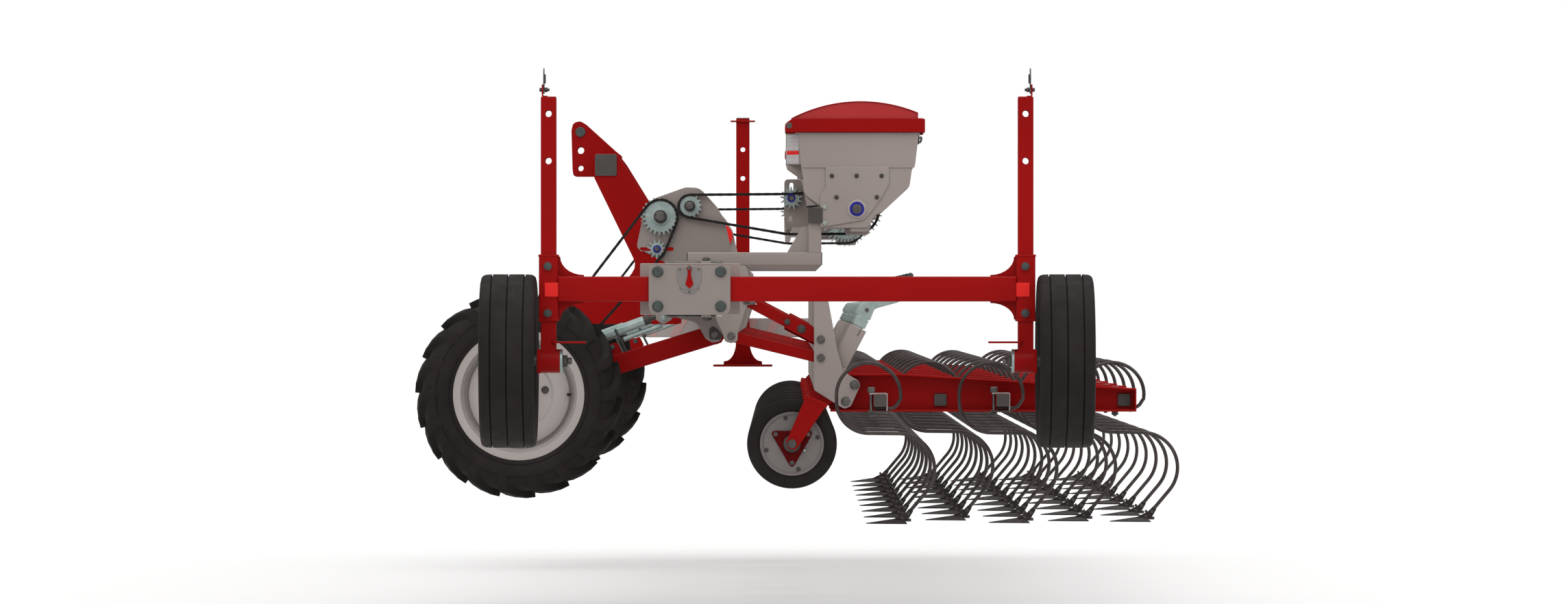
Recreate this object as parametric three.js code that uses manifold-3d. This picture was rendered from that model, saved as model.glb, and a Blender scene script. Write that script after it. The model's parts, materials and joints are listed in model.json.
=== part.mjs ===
// A tractor-mounted inter-row cultivator: a toolbar across the working width carries nine spring-tine
// gangs on floating arms, two ground-drive wheels, two granule hoppers and a pair of transport wheels.
// Millimetres. X points to the rear of the machine, Y across the working width, Z up. The origin lies
// under the middle of the machine, level with the soles of the raised shares.
import * as THREE from "three";
import { mergeVertices } from "three/addons/utils/BufferGeometryUtils.js";
import Module from "manifold-3d";

// Driving dimensions
const GAP = 0.3; // between pieces that touch
const GANGS = 9;
const GANG_SPACING = 750;
const MIDDLE_Y = 219; // middle of the toolbar
const TOOLBAR = { x: -328, z: 762, side: 160, wall: 8, y0: -3281, y1: 3619 };
const ARM_FRONT = [-200, 608]; // floating arm's pivot on the toolbar
const ARM_REAR = [92, 537]; // its pivot on the gang
const LINK_FRONT = [-150, 725];
const LINK_REAR = [92, 597];
const GAUGE_HUB = [-2, 257];
const GAUGE_WHEEL = { r: 147, width: 100 };
const LEG_INNER = 42; // half the gap between a gang's two leg plates
const LEG_PLATE = 8;
const TUBE_X0 = 283; // first cross tube of a gang
const TUBE_PITCH = 200;
const TUBE_Z = 400;
const TUBE_SIDE = 40;
const TINE_OFFSETS = [-210, 210, -105, 105, 35]; // one tine on each cross tube
const TINE_SIDE = 10.6; // a square bar of the same section as a 12 mm round one
const SHARE_WIDTH = 110;
const BEAM = { y: -3341, side: 80, z: 761.5, x0: -759, x1: 730 }; // transport beam
const POSTS = { front: -780.5, rear: 744.5 };
const POST = { x: 49, y: 60, z0: 520, z1: 1377, lever: 1468 };
const SLEEVE = { wall: 5, z0: 658, z1: 872, play: 1 };
const TRANSPORT_WHEELS = { front: -908, rear: 871 };
const TRANSPORT_WHEEL = { r: 278, width: 178, z: 531 };
const DRIVE_OFFSET = 2250; // of each drive wheel from the middle
const DRIVE_PIVOT = [-263, 610];
const DRIVE_PIN = 12; // radius
const DRIVE_HUB = [-918, 409];
const DRIVE_WHEEL = { r: 349, width: 180, rim: 215 };
const DRIVE_ARM_INBOARD = 150; // from the wheel's middle plane
const CHAIN_INBOARD = 112;
const INPUT_SHAFT = [-445, 1008];
const OUTPUT_SHAFT = [-346, 1044];
const METERING_SHAFT = [214, 1029];
const HOPPER_DEPTH = 420;
const HOPPER_INBOARD = -350; // from the drive wheel's middle plane to the hopper's outer wall
const HOPPER_WALL = 6;
const FRAME_TUBE = [75, 1008];
const MAST_HALF = 430;
const STAND = { x: -195, y: 3519, side: 54, z0: 466, z1: 1468 };

const wasm = await Module();
wasm.setup();

// Solids
function solid(geometry) {
  const bare = geometry.clone();
  bare.deleteAttribute("normal");
  bare.deleteAttribute("uv");
  const merged = mergeVertices(bare, 1e-4);
  return new wasm.Manifold(
    new wasm.Mesh({
      numProp: 3,
      vertProperties: merged.attributes.position.array,
      triVerts: new Uint32Array(merged.index.array),
    }),
  );
}

const join = (...solids) => solids.flat().reduce((all, one) => all.add(one));

const cut = (body, ...tools) => tools.flat().reduce((all, one) => all.subtract(one), body);

function box(x0, x1, y0, y1, z0, z1) {
  const block = new THREE.BoxGeometry(x1 - x0, y1 - y0, z1 - z0);
  return solid(block.translate((x0 + x1) / 2, (y0 + y1) / 2, (z0 + z1) / 2));
}

// A plate whose outline is drawn in X and Z, between two values of Y.
function plate(outline, y0, y1) {
  const shape = new THREE.Shape(outline.map(([x, z]) => new THREE.Vector2(x, z)));
  const block = new THREE.ExtrudeGeometry(shape, { depth: y1 - y0, bevelEnabled: false });
  return solid(block.rotateX(Math.PI / 2).translate(0, y1, 0));
}

// A round bar along Y through [x, z].
function bar([x, z], radius, y0, y1, sides = 12) {
  const rod = new THREE.CylinderGeometry(radius, radius, y1 - y0, sides);
  return solid(rod.rotateY(Math.PI / sides).translate(x, (y0 + y1) / 2, z));
}

// A round bar along X at height z.
function axle(x0, x1, y, z, radius, sides = 12) {
  const rod = new THREE.CylinderGeometry(radius, radius, x1 - x0, sides);
  return solid(rod.rotateZ(Math.PI / 2).translate((x0 + x1) / 2, y, z));
}

// A flat bar from one [x, z] to another, `depth` across its length, between two values of Y.
function strut([x0, z0], [x1, z1], depth, y0, y1) {
  const length = Math.hypot(x1 - x0, z1 - z0);
  const [nx, nz] = [((z0 - z1) / length) * (depth / 2), ((x1 - x0) / length) * (depth / 2)];
  const outline = [[x0 - nx, z0 - nz], [x1 - nx, z1 - nz], [x1 + nx, z1 + nz], [x0 + nx, z0 + nz]];
  return plate(outline, y0, y1);
}

// Points along an arc, from one angle to another in degrees.
function arc(x, z, radius, from, to, steps) {
  return Array.from({ length: steps + 1 }, (_, i) => {
    const angle = THREE.MathUtils.degToRad(from + ((to - from) * i) / steps);
    return [x + radius * Math.cos(angle), z + radius * Math.sin(angle)];
  });
}

// Materials
const paint = (color) => new THREE.MeshStandardMaterial({ color, roughness: 0.4, metalness: 0 });
const RED = paint(0xa01010);
const GREY = paint(0x9a908b);
const RUBBER = new THREE.MeshStandardMaterial({ color: 0x262522, roughness: 0.8, metalness: 0 });
const ZINC = new THREE.MeshStandardMaterial({ color: 0x8fa19f, roughness: 0.35, metalness: 0.9 });

const machine = new THREE.Group();

function add(name, body, material, y = 0) {
  const mesh = body.getMesh();
  const geometry = new THREE.BufferGeometry();
  geometry.setAttribute("position", new THREE.BufferAttribute(mesh.vertProperties, 3));
  geometry.setIndex(new THREE.BufferAttribute(mesh.triVerts, 1));
  const part = new THREE.Mesh(geometry, material);
  part.name = name;
  part.position.y = y;
  machine.add(part);
}

// Gangs, each drawn about its own middle plane

// The tine's centreline: a stadium-shaped upper coil over the cross tube, a straight run to the rear,
// and a bow forwards to the share.
function tineLine(x) {
  const coil = 104;
  const bow = 115;
  return [
    [x, TUBE_Z - 24],
    ...arc(x - 37, TUBE_Z + 18, coil, -14, 172, 3),
    ...arc(x - 37, TUBE_Z - 2, coil, 220, 270, 1),
    ...arc(x + 62, TUBE_Z - 107 - bow, bow, 84, -40, 2),
    [x + 76, 3],
  ];
}

// A square bar along points in one X-Z plane.
function bentBar(points, side, y) {
  const half = side / 2;
  const offset = (i, sign) => {
    const [a, b, c] = [points[Math.max(i - 1, 0)], points[i], points[Math.min(i + 1, points.length - 1)]];
    const before = new THREE.Vector2(b[0] - a[0], b[1] - a[1]).normalize();
    const after = new THREE.Vector2(c[0] - b[0], c[1] - b[1]).normalize();
    const along = before.clone().add(after).normalize();
    const stretch = half / Math.max(along.dot(i ? before : after), 0.5);
    return [b[0] - along.y * stretch * sign, b[1] + along.x * stretch * sign];
  };
  const left = points.map((_, i) => offset(i, 1));
  const right = points.map((_, i) => offset(i, -1));
  return plate([...right, ...left.reverse()], y - half, y + half);
}

// A goosefoot share: a flat arrow with its point forwards, which the tine ends in.
function share(x, y) {
  const [tip, tail, half] = [x - 45, x + 83, SHARE_WIDTH / 2];
  const corners = [[tip, y], [tail, y - half], [tail, y + half]];
  const arrow = new THREE.Shape(corners.map(([at, across]) => new THREE.Vector2(at, across)));
  return solid(new THREE.ExtrudeGeometry(arrow, { depth: 6, bevelEnabled: false }));
}

function gang() {
  const [legOuter, front, rear] = [LEG_INNER + LEG_PLATE, 123, 1122];
  const outline = [[70, 745], [70, 439], [171, 374], [223, 448], [150.5, 548], [117, 745]];
  const legs = [-legOuter, LEG_INNER].map((y) => plate(outline, y, y + LEG_PLATE));
  const web = [[front, 362], [rear, 362], [rear, 438], [352, 486], [front, 486]];
  const hollow = [[front - 1, 368], [rear + 1, 368], [rear + 1, 432], [352, 480], [front - 1, 480]];
  const beam = cut(plate(web, -46, 5), plate(hollow, -47, -3));
  const spacers = [
    box(76, 176, -LEG_INNER - 1, LEG_INNER + 1, 452, 500),
    strut([42, 478], [110, 386], 12, -70, legOuter),
  ];
  const jack = [
    strut([167, 493], [245, 640], 50, -15, 15),
    strut([240, 636], [377, 776], 10, -12, 12),
  ];
  const wheelArm = [
    strut(GAUGE_HUB, [82, 410], 44, -68, -58),
    bar(GAUGE_HUB, 11, -60, GAUGE_WHEEL.width / 2 + 6, 6),
  ];
  const rows = TINE_OFFSETS.flatMap((offset, i) => {
    const x = TUBE_X0 + i * TUBE_PITCH;
    const reach = Math.sign(offset) * (Math.abs(offset) + 25);
    const half = TUBE_SIDE / 2;
    return [
      box(x - half, x + half, Math.min(reach, -10), Math.max(reach, 10), TUBE_Z - half, TUBE_Z + half),
      bentBar(tineLine(x), TINE_SIDE, offset),
      share(x, offset),
    ];
  });
  const bores = [ARM_REAR, LINK_REAR].map((pivot) => bar(pivot, 11, -legOuter - 1, legOuter + 1, 6));
  return cut(join(legs, beam, spacers, jack, wheelArm, rows), bores);
}

// The floating arm is a box tube, a little longer than the distance between its two pins.
function lowerArm() {
  const [half, pin, end] = [28, 9.5, 0.06];
  const along = (share) => ARM_FRONT.map((value, axis) => value + (ARM_REAR[axis] - value) * share);
  return join(
    strut(along(-end), along(1 + end), 40, -half, half),
    bar(ARM_FRONT, pin, -47, 47, 6),
    bar(ARM_REAR, pin, -56, 56, 6),
  );
}

// The upper link turns on the gang, and its slotted front end slides on a pin in the head bracket.
function upperLink() {
  const [dx, dz] = [LINK_FRONT[0] - LINK_REAR[0], LINK_FRONT[1] - LINK_REAR[1]];
  const at = (share) => [LINK_REAR[0] + dx * share, LINK_REAR[1] + dz * share];
  return cut(
    join(
      strut(at(-0.08), at(0.5), 50, -18, 18),
      strut(at(0.4), at(1.1), 36, -10, 10),
      bar(LINK_REAR, 9.5, -56, 56, 6),
    ),
    strut(at(0.86), at(1.05), 18, -11, 11),
  );
}

function gaugeWheel() {
  const half = GAUGE_WHEEL.width / 2;
  return cut(
    bar(GAUGE_HUB, GAUGE_WHEEL.r, -half, half, 20),
    bar(GAUGE_HUB, 13.5, -half - 1, half + 1, 6),
  );
}

// Toolbar with the gangs' head brackets, the drive arms' brackets and its end plate

function headBracket(y) {
  const outline = [[-252, 838], [-148, 838], [-122, 730], [-176, 588], [-222, 588], [-252, 690]];
  const [inner, outer] = [33, 41];
  const sides = [-outer, inner].map((start) =>
    cut(plate(outline, y + start, y + start + outer - inner), bar(ARM_FRONT, 11, y - 60, y + 60, 6)),
  );
  return [...sides, bar(LINK_FRONT, 8, y - inner - 1, y + inner + 1, 6)];
}

// Brackets under the toolbar that hold a drive arm, with the arm between two plates.
function armBracket(y) {
  const outline = [[-400, 690], [-400, 670], [-300, 588], [-235, 588], [-235, 670], [-256, 690]];
  return [-41, 33].map((start) =>
    cut(plate(outline, y + start, y + start + 8), bar(DRIVE_PIVOT, DRIVE_PIN + 1.2, y - 60, y + 60, 8)),
  );
}

function toolbar() {
  const { x, z, side, wall, y0, y1 } = TOOLBAR;
  const [half, bore] = [side / 2, side / 2 - wall];
  const tube = cut(
    box(x - half, x + half, y0, y1, z - half, z + half),
    box(x - bore, x + bore, y0 - 60, y1 + 1, z - bore, z + bore),
  );
  const heads = gangPlaces().flatMap(headBracket);
  const armPlane = DRIVE_OFFSET - DRIVE_ARM_INBOARD;
  const brackets = [-armPlane, armPlane].flatMap((offset) => armBracket(MIDDLE_Y + offset));
  const endPlate = cut(
    box(-489, -169, y0 - 16, y0 + 4, 679, 844),
    box(x - bore, x + bore, y0 - 17, y0 + 5, z - bore, z + bore),
  );
  const [sx, sy, sh] = [STAND.x, STAND.y, STAND.side / 2 + 1];
  const sleeve = cut(
    box(x + half - 2, sx + sh + 8, sy - sh - 8, sy + sh + 8, 690, 835),
    box(sx - sh, sx + sh, sy - sh, sy + sh, 680, 845),
  );
  const lightBoard = [
    box(-650, 100, y1 - 8, y1, 576, 654),
    box(-360, -296, y1 - 8, y1, 650, 700),
  ];
  return join(tube, heads, brackets, endPlate, sleeve, lightBoard);
}

function gangPlaces() {
  return Array.from({ length: GANGS }, (_, i) => MIDDLE_Y + (i - (GANGS - 1) / 2) * GANG_SPACING);
}

// Hitch: two box arms with the lower hitch plates, a cross tube, and the top link's lugs in the middle
function hitchMast() {
  const [front, top] = [TOOLBAR.x - TOOLBAR.side / 2 - GAP, TOOLBAR.z + TOOLBAR.side / 2 + GAP];
  const arm = [
    [-850, 640], [front, 640], [front, top], [-392, top], [-519, 1080], [-609, 1226], [-627, 1252],
    [-712, 1172], [-555, 849], [-640, 740], [-850, 700],
  ];
  const lug = [
    [-798, 1200], [-788, 1184], [-768, 1177], [-619, 1177], [-619, 1252], [-640, 1269], [-746, 1365],
    [-769, 1373], [-792, 1363], [-802, 1340],
  ];
  const arms = [-1, 1].flatMap((side) => {
    const y = MIDDLE_Y + side * MAST_HALF;
    return [
      cut(plate(arm, y - 30, y + 30), box(-860, -600, y - 18, y + 18, 600, 760)),
      bar([-822, 670], 14, y - 30, y + 30, 8),
    ];
  });
  const lugs = [-45, 33].map((start) => cut(
    plate(lug, MIDDLE_Y + start, MIDDLE_Y + start + 12),
    [1272, 1207].map((z) => bar([-768, z], 12, MIDDLE_Y - 60, MIDDLE_Y + 60, 8)),
  ));
  const pin = bar([-769, 1339], 18, MIDDLE_Y - 52, MIDDLE_Y + 52, 12);
  const across = box(-707, -627, MIDDLE_Y - MAST_HALF - 36, MIDDLE_Y + MAST_HALF + 36, 1172, 1252);
  return join(arms, lugs, pin, across);
}

// Transport gear
function transportBeam() {
  const [y0, y1] = [BEAM.y - BEAM.side / 2, BEAM.y + BEAM.side / 2];
  const [z0, z1] = [BEAM.z - BEAM.side / 2, BEAM.z + BEAM.side / 2];
  const sleeves = Object.values(POSTS).map((x) => {
    const [hx, hy] = [POST.x / 2 + SLEEVE.play, POST.y / 2 + SLEEVE.play];
    return {
      outer: box(
        x - hx - SLEEVE.wall, x + hx + SLEEVE.wall, BEAM.y - hy - SLEEVE.wall, BEAM.y + hy + SLEEVE.wall,
        SLEEVE.z0, SLEEVE.z1,
      ),
      hollow: box(x - hx, x + hx, BEAM.y - hy, BEAM.y + hy, SLEEVE.z0 - 1, SLEEVE.z1 + 1),
    };
  });
  const gusset = (outline) => plate(outline, BEAM.y - 4, BEAM.y + 4);
  const gussets = [[BEAM.x0 + 8, 1], [BEAM.x1 - 8, -1]].flatMap(([x, way]) => [
    gusset([[x, z1 - 1], [x + way * 80, z1 - 1], [x + way * 42, z1 + 14], [x, z1 + 65]]),
    gusset([[x, z0 + 1], [x, z0 - 58], [x + way * 42, z0 - 14], [x + way * 80, z0 + 1]]),
  ]);
  return cut(
    join(box(BEAM.x0, BEAM.x1, y0, y1, z0, z1), sleeves.map((s) => s.outer), gussets),
    sleeves.map((s) => s.hollow),
  );
}

// The post slides in its sleeve and carries the wheel's axle housing, a parking foot and the pin's lever.
function transportPost(x, wheelX) {
  const inboard = Math.sign(-x);
  const [hx, hy] = [POST.x / 2, POST.y / 2];
  const tube = box(x - hx, x + hx, BEAM.y - hy, BEAM.y + hy, POST.z0, POST.z1);
  const foot = box(Math.min(x, x + inboard * 120), Math.max(x, x + inboard * 120), BEAM.y - 50, BEAM.y + 50, 588, 594);
  const wheelFace = wheelX + (inboard * TRANSPORT_WHEEL.width) / 2;
  const ends = [wheelFace + inboard * 2, x + inboard * 53].sort((a, b) => a - b);
  const axleEnds = [wheelX - inboard * 40, x].sort((a, b) => a - b);
  const leverX = x - inboard * 17;
  const lever = box(leverX - 3, leverX + 3, BEAM.y - 12, BEAM.y + 12, POST.z1 - 1, POST.lever);
  const { z } = TRANSPORT_WHEEL;
  return cut(
    join(
      tube, foot, lever,
      box(...ends, BEAM.y - 39, BEAM.y + 39, z - 39, z + 39),
      axle(...axleEnds, BEAM.y, z, 18),
    ),
    [1171, 1322].map((hole) => bar([x, hole], 11, BEAM.y - 60, BEAM.y + 60, 10)),
  );
}

function transportWheel(x, inboard) {
  const { r, width, z } = TRANSPORT_WHEEL;
  const deep = [x - inboard * 45, x + inboard * (width / 2 + 1)].sort((a, b) => a - b);
  return cut(axle(x - width / 2, x + width / 2, BEAM.y, z, r, 32), axle(...deep, BEAM.y, z, 19));
}

function clampPlate() {
  const face = BEAM.y - BEAM.side / 2 - GAP;
  const corners = (x0, x1, z0, z1, r) => [
    ...arc(x1 - r, z1 - r, r, 0, 90, 2), ...arc(x0 + r, z1 - r, r, 90, 180, 2),
    ...arc(x0 + r, z0 + r, r, 180, 270, 2), ...arc(x1 - r, z0 + r, r, 270, 360, 2),
  ];
  const bolts = [-431, -230].flatMap((x) => [706, 816.5].map((z) => bar([x, z], 7.5, face - 12, BEAM.y + 40, 8)));
  return join(
    plate(corners(-460, -199, 679, 835, 25), face - 12, face),
    plate(corners(-371, -291, 740, 834, 12), face - 15, face - 11),
    bar([-330, 828.5], 3, face - 21, face - 14, 8),
    bolts,
  );
}

function levelPointer() {
  const face = BEAM.y - BEAM.side / 2 - GAP - 15;
  return cut(
    join(
      bar([-330, 828.5], 7, face - 4, face - 1),
      plate([[-333, 826], [-344, 780], [-330, 763], [-316, 780], [-327, 826]], face - 4, face - 1),
    ),
    bar([-330, 828.5], 3.6, face - 6, face, 8),
  );
}

// Ground drive. `out` is +1 or -1, the side of the machine that the wheel is on.
function driveArm(out) {
  const y = -out * DRIVE_ARM_INBOARD;
  const [axleStart, axleEnd] = [y, out * (DRIVE_WHEEL.width / 2 + 10)].sort((a, b) => a - b);
  return join(
    strut(DRIVE_PIVOT, DRIVE_HUB, 70, y - 25, y + 25),
    bar(DRIVE_PIVOT, 35, y - 25, y + 25, 16),
    bar(DRIVE_PIVOT, DRIVE_PIN, y - 46, y + 46, 8),
    bar(DRIVE_HUB, 35, y - 25, y + 25, 16),
    bar(DRIVE_HUB, 15, axleStart, axleEnd),
  );
}

function driveWheel(out) {
  const half = DRIVE_WHEEL.width / 2;
  const inner = -out * (CHAIN_INBOARD + 4);
  const ends = [inner, out * half].sort((a, b) => a - b);
  const dish = [out * 25, out * (half + 1)].sort((a, b) => a - b);
  return cut(
    join(
      cut(bar(DRIVE_HUB, DRIVE_WHEEL.r, -half, half, 36), bar(DRIVE_HUB, DRIVE_WHEEL.rim, ...dish, 24)),
      bar(DRIVE_HUB, 44, ...ends, 16),
    ),
    bar(DRIVE_HUB, 16, -200, 200),
  );
}

function transmissionPlate(out) {
  const [z0, y] = [TOOLBAR.z + TOOLBAR.side / 2 + GAP, -out * (CHAIN_INBOARD + 20)];
  const outline = [
    [-527, 902], [-509, 990], [-460, 1074], [-361, 1106], [-317, 1100], [-255, 1039], [-229, 999],
    [-204, 887], [-204, z0], [-408, z0], [-445, 862],
  ];
  return cut(
    plate(outline, y - 4, y + 4),
    bar(INPUT_SHAFT, 17, y - 9, y + 9),
    bar(OUTPUT_SHAFT, 13, y - 9, y + 9),
    box(-515, -400, y - 9, y + 9, 893, 905),
  );
}

// A shaft along the machine with a sprocket in each chain's plane and a gear behind each plate.
function shaft(at, radius, sprocket, gear, ends = DRIVE_OFFSET) {
  const wheels = [-1, 1].flatMap((out) => {
    const plane = MIDDLE_Y + out * (DRIVE_OFFSET - CHAIN_INBOARD);
    const geared = MIDDLE_Y + out * (DRIVE_OFFSET - CHAIN_INBOARD - 38);
    const discs = [bar(at, sprocket, plane - 3, plane + 3, 16)];
    return gear ? [...discs, bar(at, gear, geared - 8, geared + 8, 16)] : discs;
  });
  return join(bar(at, radius, MIDDLE_Y - ends, MIDDLE_Y + ends, 8), wheels);
}

// Hoppers, drawn from the outer wall at y = 0 towards the middle of the machine
const HOPPER_OUTLINE = [
  [12, 1283], [12, 1175], [32, 1168], [32, 1090], [104, 1042], [104, 966], [250, 966], [272, 1008],
  [380, 1090], [387, 1105], [406, 1170], [422, 1178], [422, 1283],
];
const HOPPER_INSIDE = [
  [18, 1290], [18, 1180], [38, 1172], [38, 1094], [110, 1046], [110, 960], [244, 960], [267, 1013],
  [374, 1094], [381, 1108], [400, 1174], [416, 1182], [416, 1290],
];

function hopper() {
  return cut(
    plate(HOPPER_OUTLINE, 0, HOPPER_DEPTH),
    plate(HOPPER_INSIDE, HOPPER_WALL, HOPPER_DEPTH - HOPPER_WALL),
    bar(METERING_SHAFT, 14, -1, HOPPER_DEPTH + 1),
  );
}

function hopperLid() {
  const [x0, x1, z0, z1] = [-25, 440, 1283 + GAP, 1330];
  const [y0, y1, wall] = [-14, HOPPER_DEPTH + 14, 4];
  const dome = [[x1, z1], ...arc(222, 1040, 347, 58, 122, 6), [x0, z1]];
  const hollow = [[x1 - 20, z1], ...arc(222, 1036, 347, 60, 120, 6), [x0 + 20, z1]];
  return cut(
    join(box(x0, x1, y0, y1, z0, z1), plate(dome, y0, y1)),
    box(x0 + wall, x1 - wall, y0 + wall, y1 - wall, z0 - 1, z1 - wall),
    plate(hollow, y0 + 20, y1 - 20),
  );
}

// The hoppers' cross tube on posts, which stand on arms that lie on the toolbar
function hopperFrame() {
  const [x, z] = FRAME_TUBE;
  const ends = DRIVE_OFFSET + 360;
  const deck = TOOLBAR.z + TOOLBAR.side / 2 + GAP;
  const stands = [-2575, -1690, -850, 0, 850, 1690, 2575].flatMap((offset) => {
    const y = MIDDLE_Y + offset;
    return [
      box(-350, 99, y - 20, y + 20, deck, 885),
      box(53, 96, y - 20, y + 20, 880, z - 20),
      plate([[-18, 885], [56, 885], [56, 970], [32, 970]], y - 3, y + 3),
    ];
  });
  const idlerPlates = [-1, 1].map((out) => {
    const y = MIDDLE_Y + out * (DRIVE_OFFSET - CHAIN_INBOARD - 16);
    return plate([[-27, 973], [52, 973], [52, 1030], [30, 1135], [-27, 1135]], y - 3, y + 3);
  });
  return join(box(x - 25, x + 25, MIDDLE_Y - ends, MIDDLE_Y + ends, z - 25, z + 25), stands, idlerPlates);
}

function parkingStand() {
  const { x, y, side, z0, z1 } = STAND;
  const half = side / 2;
  const [foot, top] = [75, half - 1];
  const gusset = [[x - foot, z0 - 1], [x + foot, z0 - 1], [x + top, z0 + 90], [x - top, z0 + 90]];
  return cut(
    join(
      box(x - half, x + half, y - half, y + half, z0 - 1, z1),
      box(x - 120, x + 120, y - 90, y + 90, z0 - 8, z0),
      plate(gusset, y - 4, y + 4),
    ),
    [1222, 1339].map((z) => bar([x, z], 11, y - 60, y + 60, 10)),
  );
}

// Assembly
gangPlaces().forEach((y, i) => {
  const unit = `unit_${i + 1}`;
  add(`${unit}_lower_arm`, lowerArm(), RED, y);
  add(`${unit}_upper_link`, upperLink(), RED, y);
  add(`${unit}_gang`, gang(), GREY, y);
  add(`${unit}_gauge_wheel`, gaugeWheel(), RUBBER, y);
});

add("toolbar", toolbar(), GREY);
add("hitch_mast", hitchMast(), RED);
add("transport_beam", transportBeam(), RED);
add("beam_clamp_plate", clampPlate(), GREY);
add("level_pointer", levelPointer(), RED);

for (const end of ["front", "rear"]) {
  add(`transport_post_${end}`, transportPost(POSTS[end], TRANSPORT_WHEELS[end]), RED);
  add(`transport_wheel_${end}`, transportWheel(TRANSPORT_WHEELS[end], Math.sign(-POSTS[end])), RUBBER);
}

for (const [side, out] of [["near", -1], ["far", 1]]) {
  const y = MIDDLE_Y + out * DRIVE_OFFSET;
  add(`drive_arm_${side}`, driveArm(out), RED, y);
  add(`drive_wheel_${side}`, driveWheel(out), RUBBER, y);
  add(`transmission_plate_${side}`, transmissionPlate(out), GREY, y);
  const wall = out < 0 ? y + HOPPER_INBOARD : y - HOPPER_INBOARD - HOPPER_DEPTH;
  add(`hopper_${side}`, hopper(), GREY, wall);
  add(`hopper_lid_${side}`, hopperLid(), RED, wall);
}

add("input_shaft", shaft(INPUT_SHAFT, 16, 62, 64.5), ZINC);
add("output_shaft", shaft(OUTPUT_SHAFT, 12, 38, 40), ZINC);
add("metering_shaft", shaft(METERING_SHAFT, 13, 78, 0, DRIVE_OFFSET + 370), ZINC);
add("hopper_frame", hopperFrame(), GREY);
add("parking_stand", parkingStand(), RED);

export default machine;
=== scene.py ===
"""A tractor-mounted inter-row cultivator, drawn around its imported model.

Lengths in this script are millimetres unless a section says otherwise; objects are made in metres.
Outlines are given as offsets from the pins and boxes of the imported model.
"""

import json
import math

import bmesh
import bpy
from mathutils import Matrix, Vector
from mathutils.geometry import tessellate_polygon


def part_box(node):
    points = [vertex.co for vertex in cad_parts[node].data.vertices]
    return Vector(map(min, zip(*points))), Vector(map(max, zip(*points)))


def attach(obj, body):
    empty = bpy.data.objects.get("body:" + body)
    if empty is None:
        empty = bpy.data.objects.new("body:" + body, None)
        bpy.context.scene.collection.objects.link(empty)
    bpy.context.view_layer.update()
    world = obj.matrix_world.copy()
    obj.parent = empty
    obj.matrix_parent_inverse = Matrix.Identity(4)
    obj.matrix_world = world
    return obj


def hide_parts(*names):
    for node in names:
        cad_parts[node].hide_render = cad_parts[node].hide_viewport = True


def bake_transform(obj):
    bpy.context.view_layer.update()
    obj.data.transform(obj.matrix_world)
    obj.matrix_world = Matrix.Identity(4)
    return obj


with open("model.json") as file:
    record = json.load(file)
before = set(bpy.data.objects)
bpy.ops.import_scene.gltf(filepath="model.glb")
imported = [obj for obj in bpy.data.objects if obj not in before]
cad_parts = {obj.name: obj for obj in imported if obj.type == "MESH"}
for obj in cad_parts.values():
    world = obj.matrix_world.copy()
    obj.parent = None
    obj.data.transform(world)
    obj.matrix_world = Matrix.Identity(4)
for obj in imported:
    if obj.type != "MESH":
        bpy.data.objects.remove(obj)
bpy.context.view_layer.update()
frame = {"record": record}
MM = 0.001
JOINTS = {joint["name"]: joint for joint in frame["record"]["behaviour"]["joints"]}


def pivot(joint):
    """A joint's place as x, y, z."""
    return [value / MM for value in JOINTS[joint]["pos_m"]]


def extent(node):
    """A node's lowest and highest corners."""
    low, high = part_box(node)
    return [value / MM for value in low], [value / MM for value in high]


def mount_place(name):
    """A mount's place as x, y, z."""
    mount = next(m for m in frame["record"]["mounts"] if m["name"] == name)
    return [value / MM for value in mount["pos_m"]]


def middle_of(node):
    """The middle of a node as x, y."""
    low, high = extent(node)
    return (low[0] + high[0]) / 2, (low[1] + high[1]) / 2


def xz(point):
    return (point[0], point[2])


def off(anchor, *offsets):
    """Points at offsets from an anchor in the X-Z plane, each with its corner radius if it has one."""
    return [(anchor[0] + o[0], anchor[1] + o[1], *o[2:]) for o in offsets]


# The camera, the light and the floor. Lengths of this section are metres.

FOCAL_LENGTH, SENSOR_WIDTH, FAR_CLIP = 182.5, 36, 200
CAMERA_X, CAMERA_Z = -0.028, 0.72
CAMERA_DISTANCE = 28.98  # from the middle of the fifth gang
ROOM = ((1.0, 0.97, 0.95, 1), 0.3)
BACKDROP = ((1, 1, 1, 1), 1.0)
SUNS = (("overhead", 3.3, 12, 25, 125), ("fill", 0.55, 66, -25, 80))  # strength, tilt, turn and width
FLOOR_REACH, FLOOR_LEVEL = 60, -0.312
FLOOR_TONE = (0.74, 0.77)


def make_camera():
    data = bpy.data.cameras.new("camera")
    data.lens = FOCAL_LENGTH
    data.sensor_width = SENSOR_WIDTH
    data.clip_end = FAR_CLIP
    camera = bpy.data.objects.new("camera", data)
    camera.location = (CAMERA_X, JOINTS["unit_5_float"]["pos_m"][1] - CAMERA_DISTANCE, CAMERA_Z)
    camera.rotation_euler = (math.pi / 2, 0, 0)
    bpy.context.scene.collection.objects.link(camera)
    bpy.context.scene.camera = camera


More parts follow.
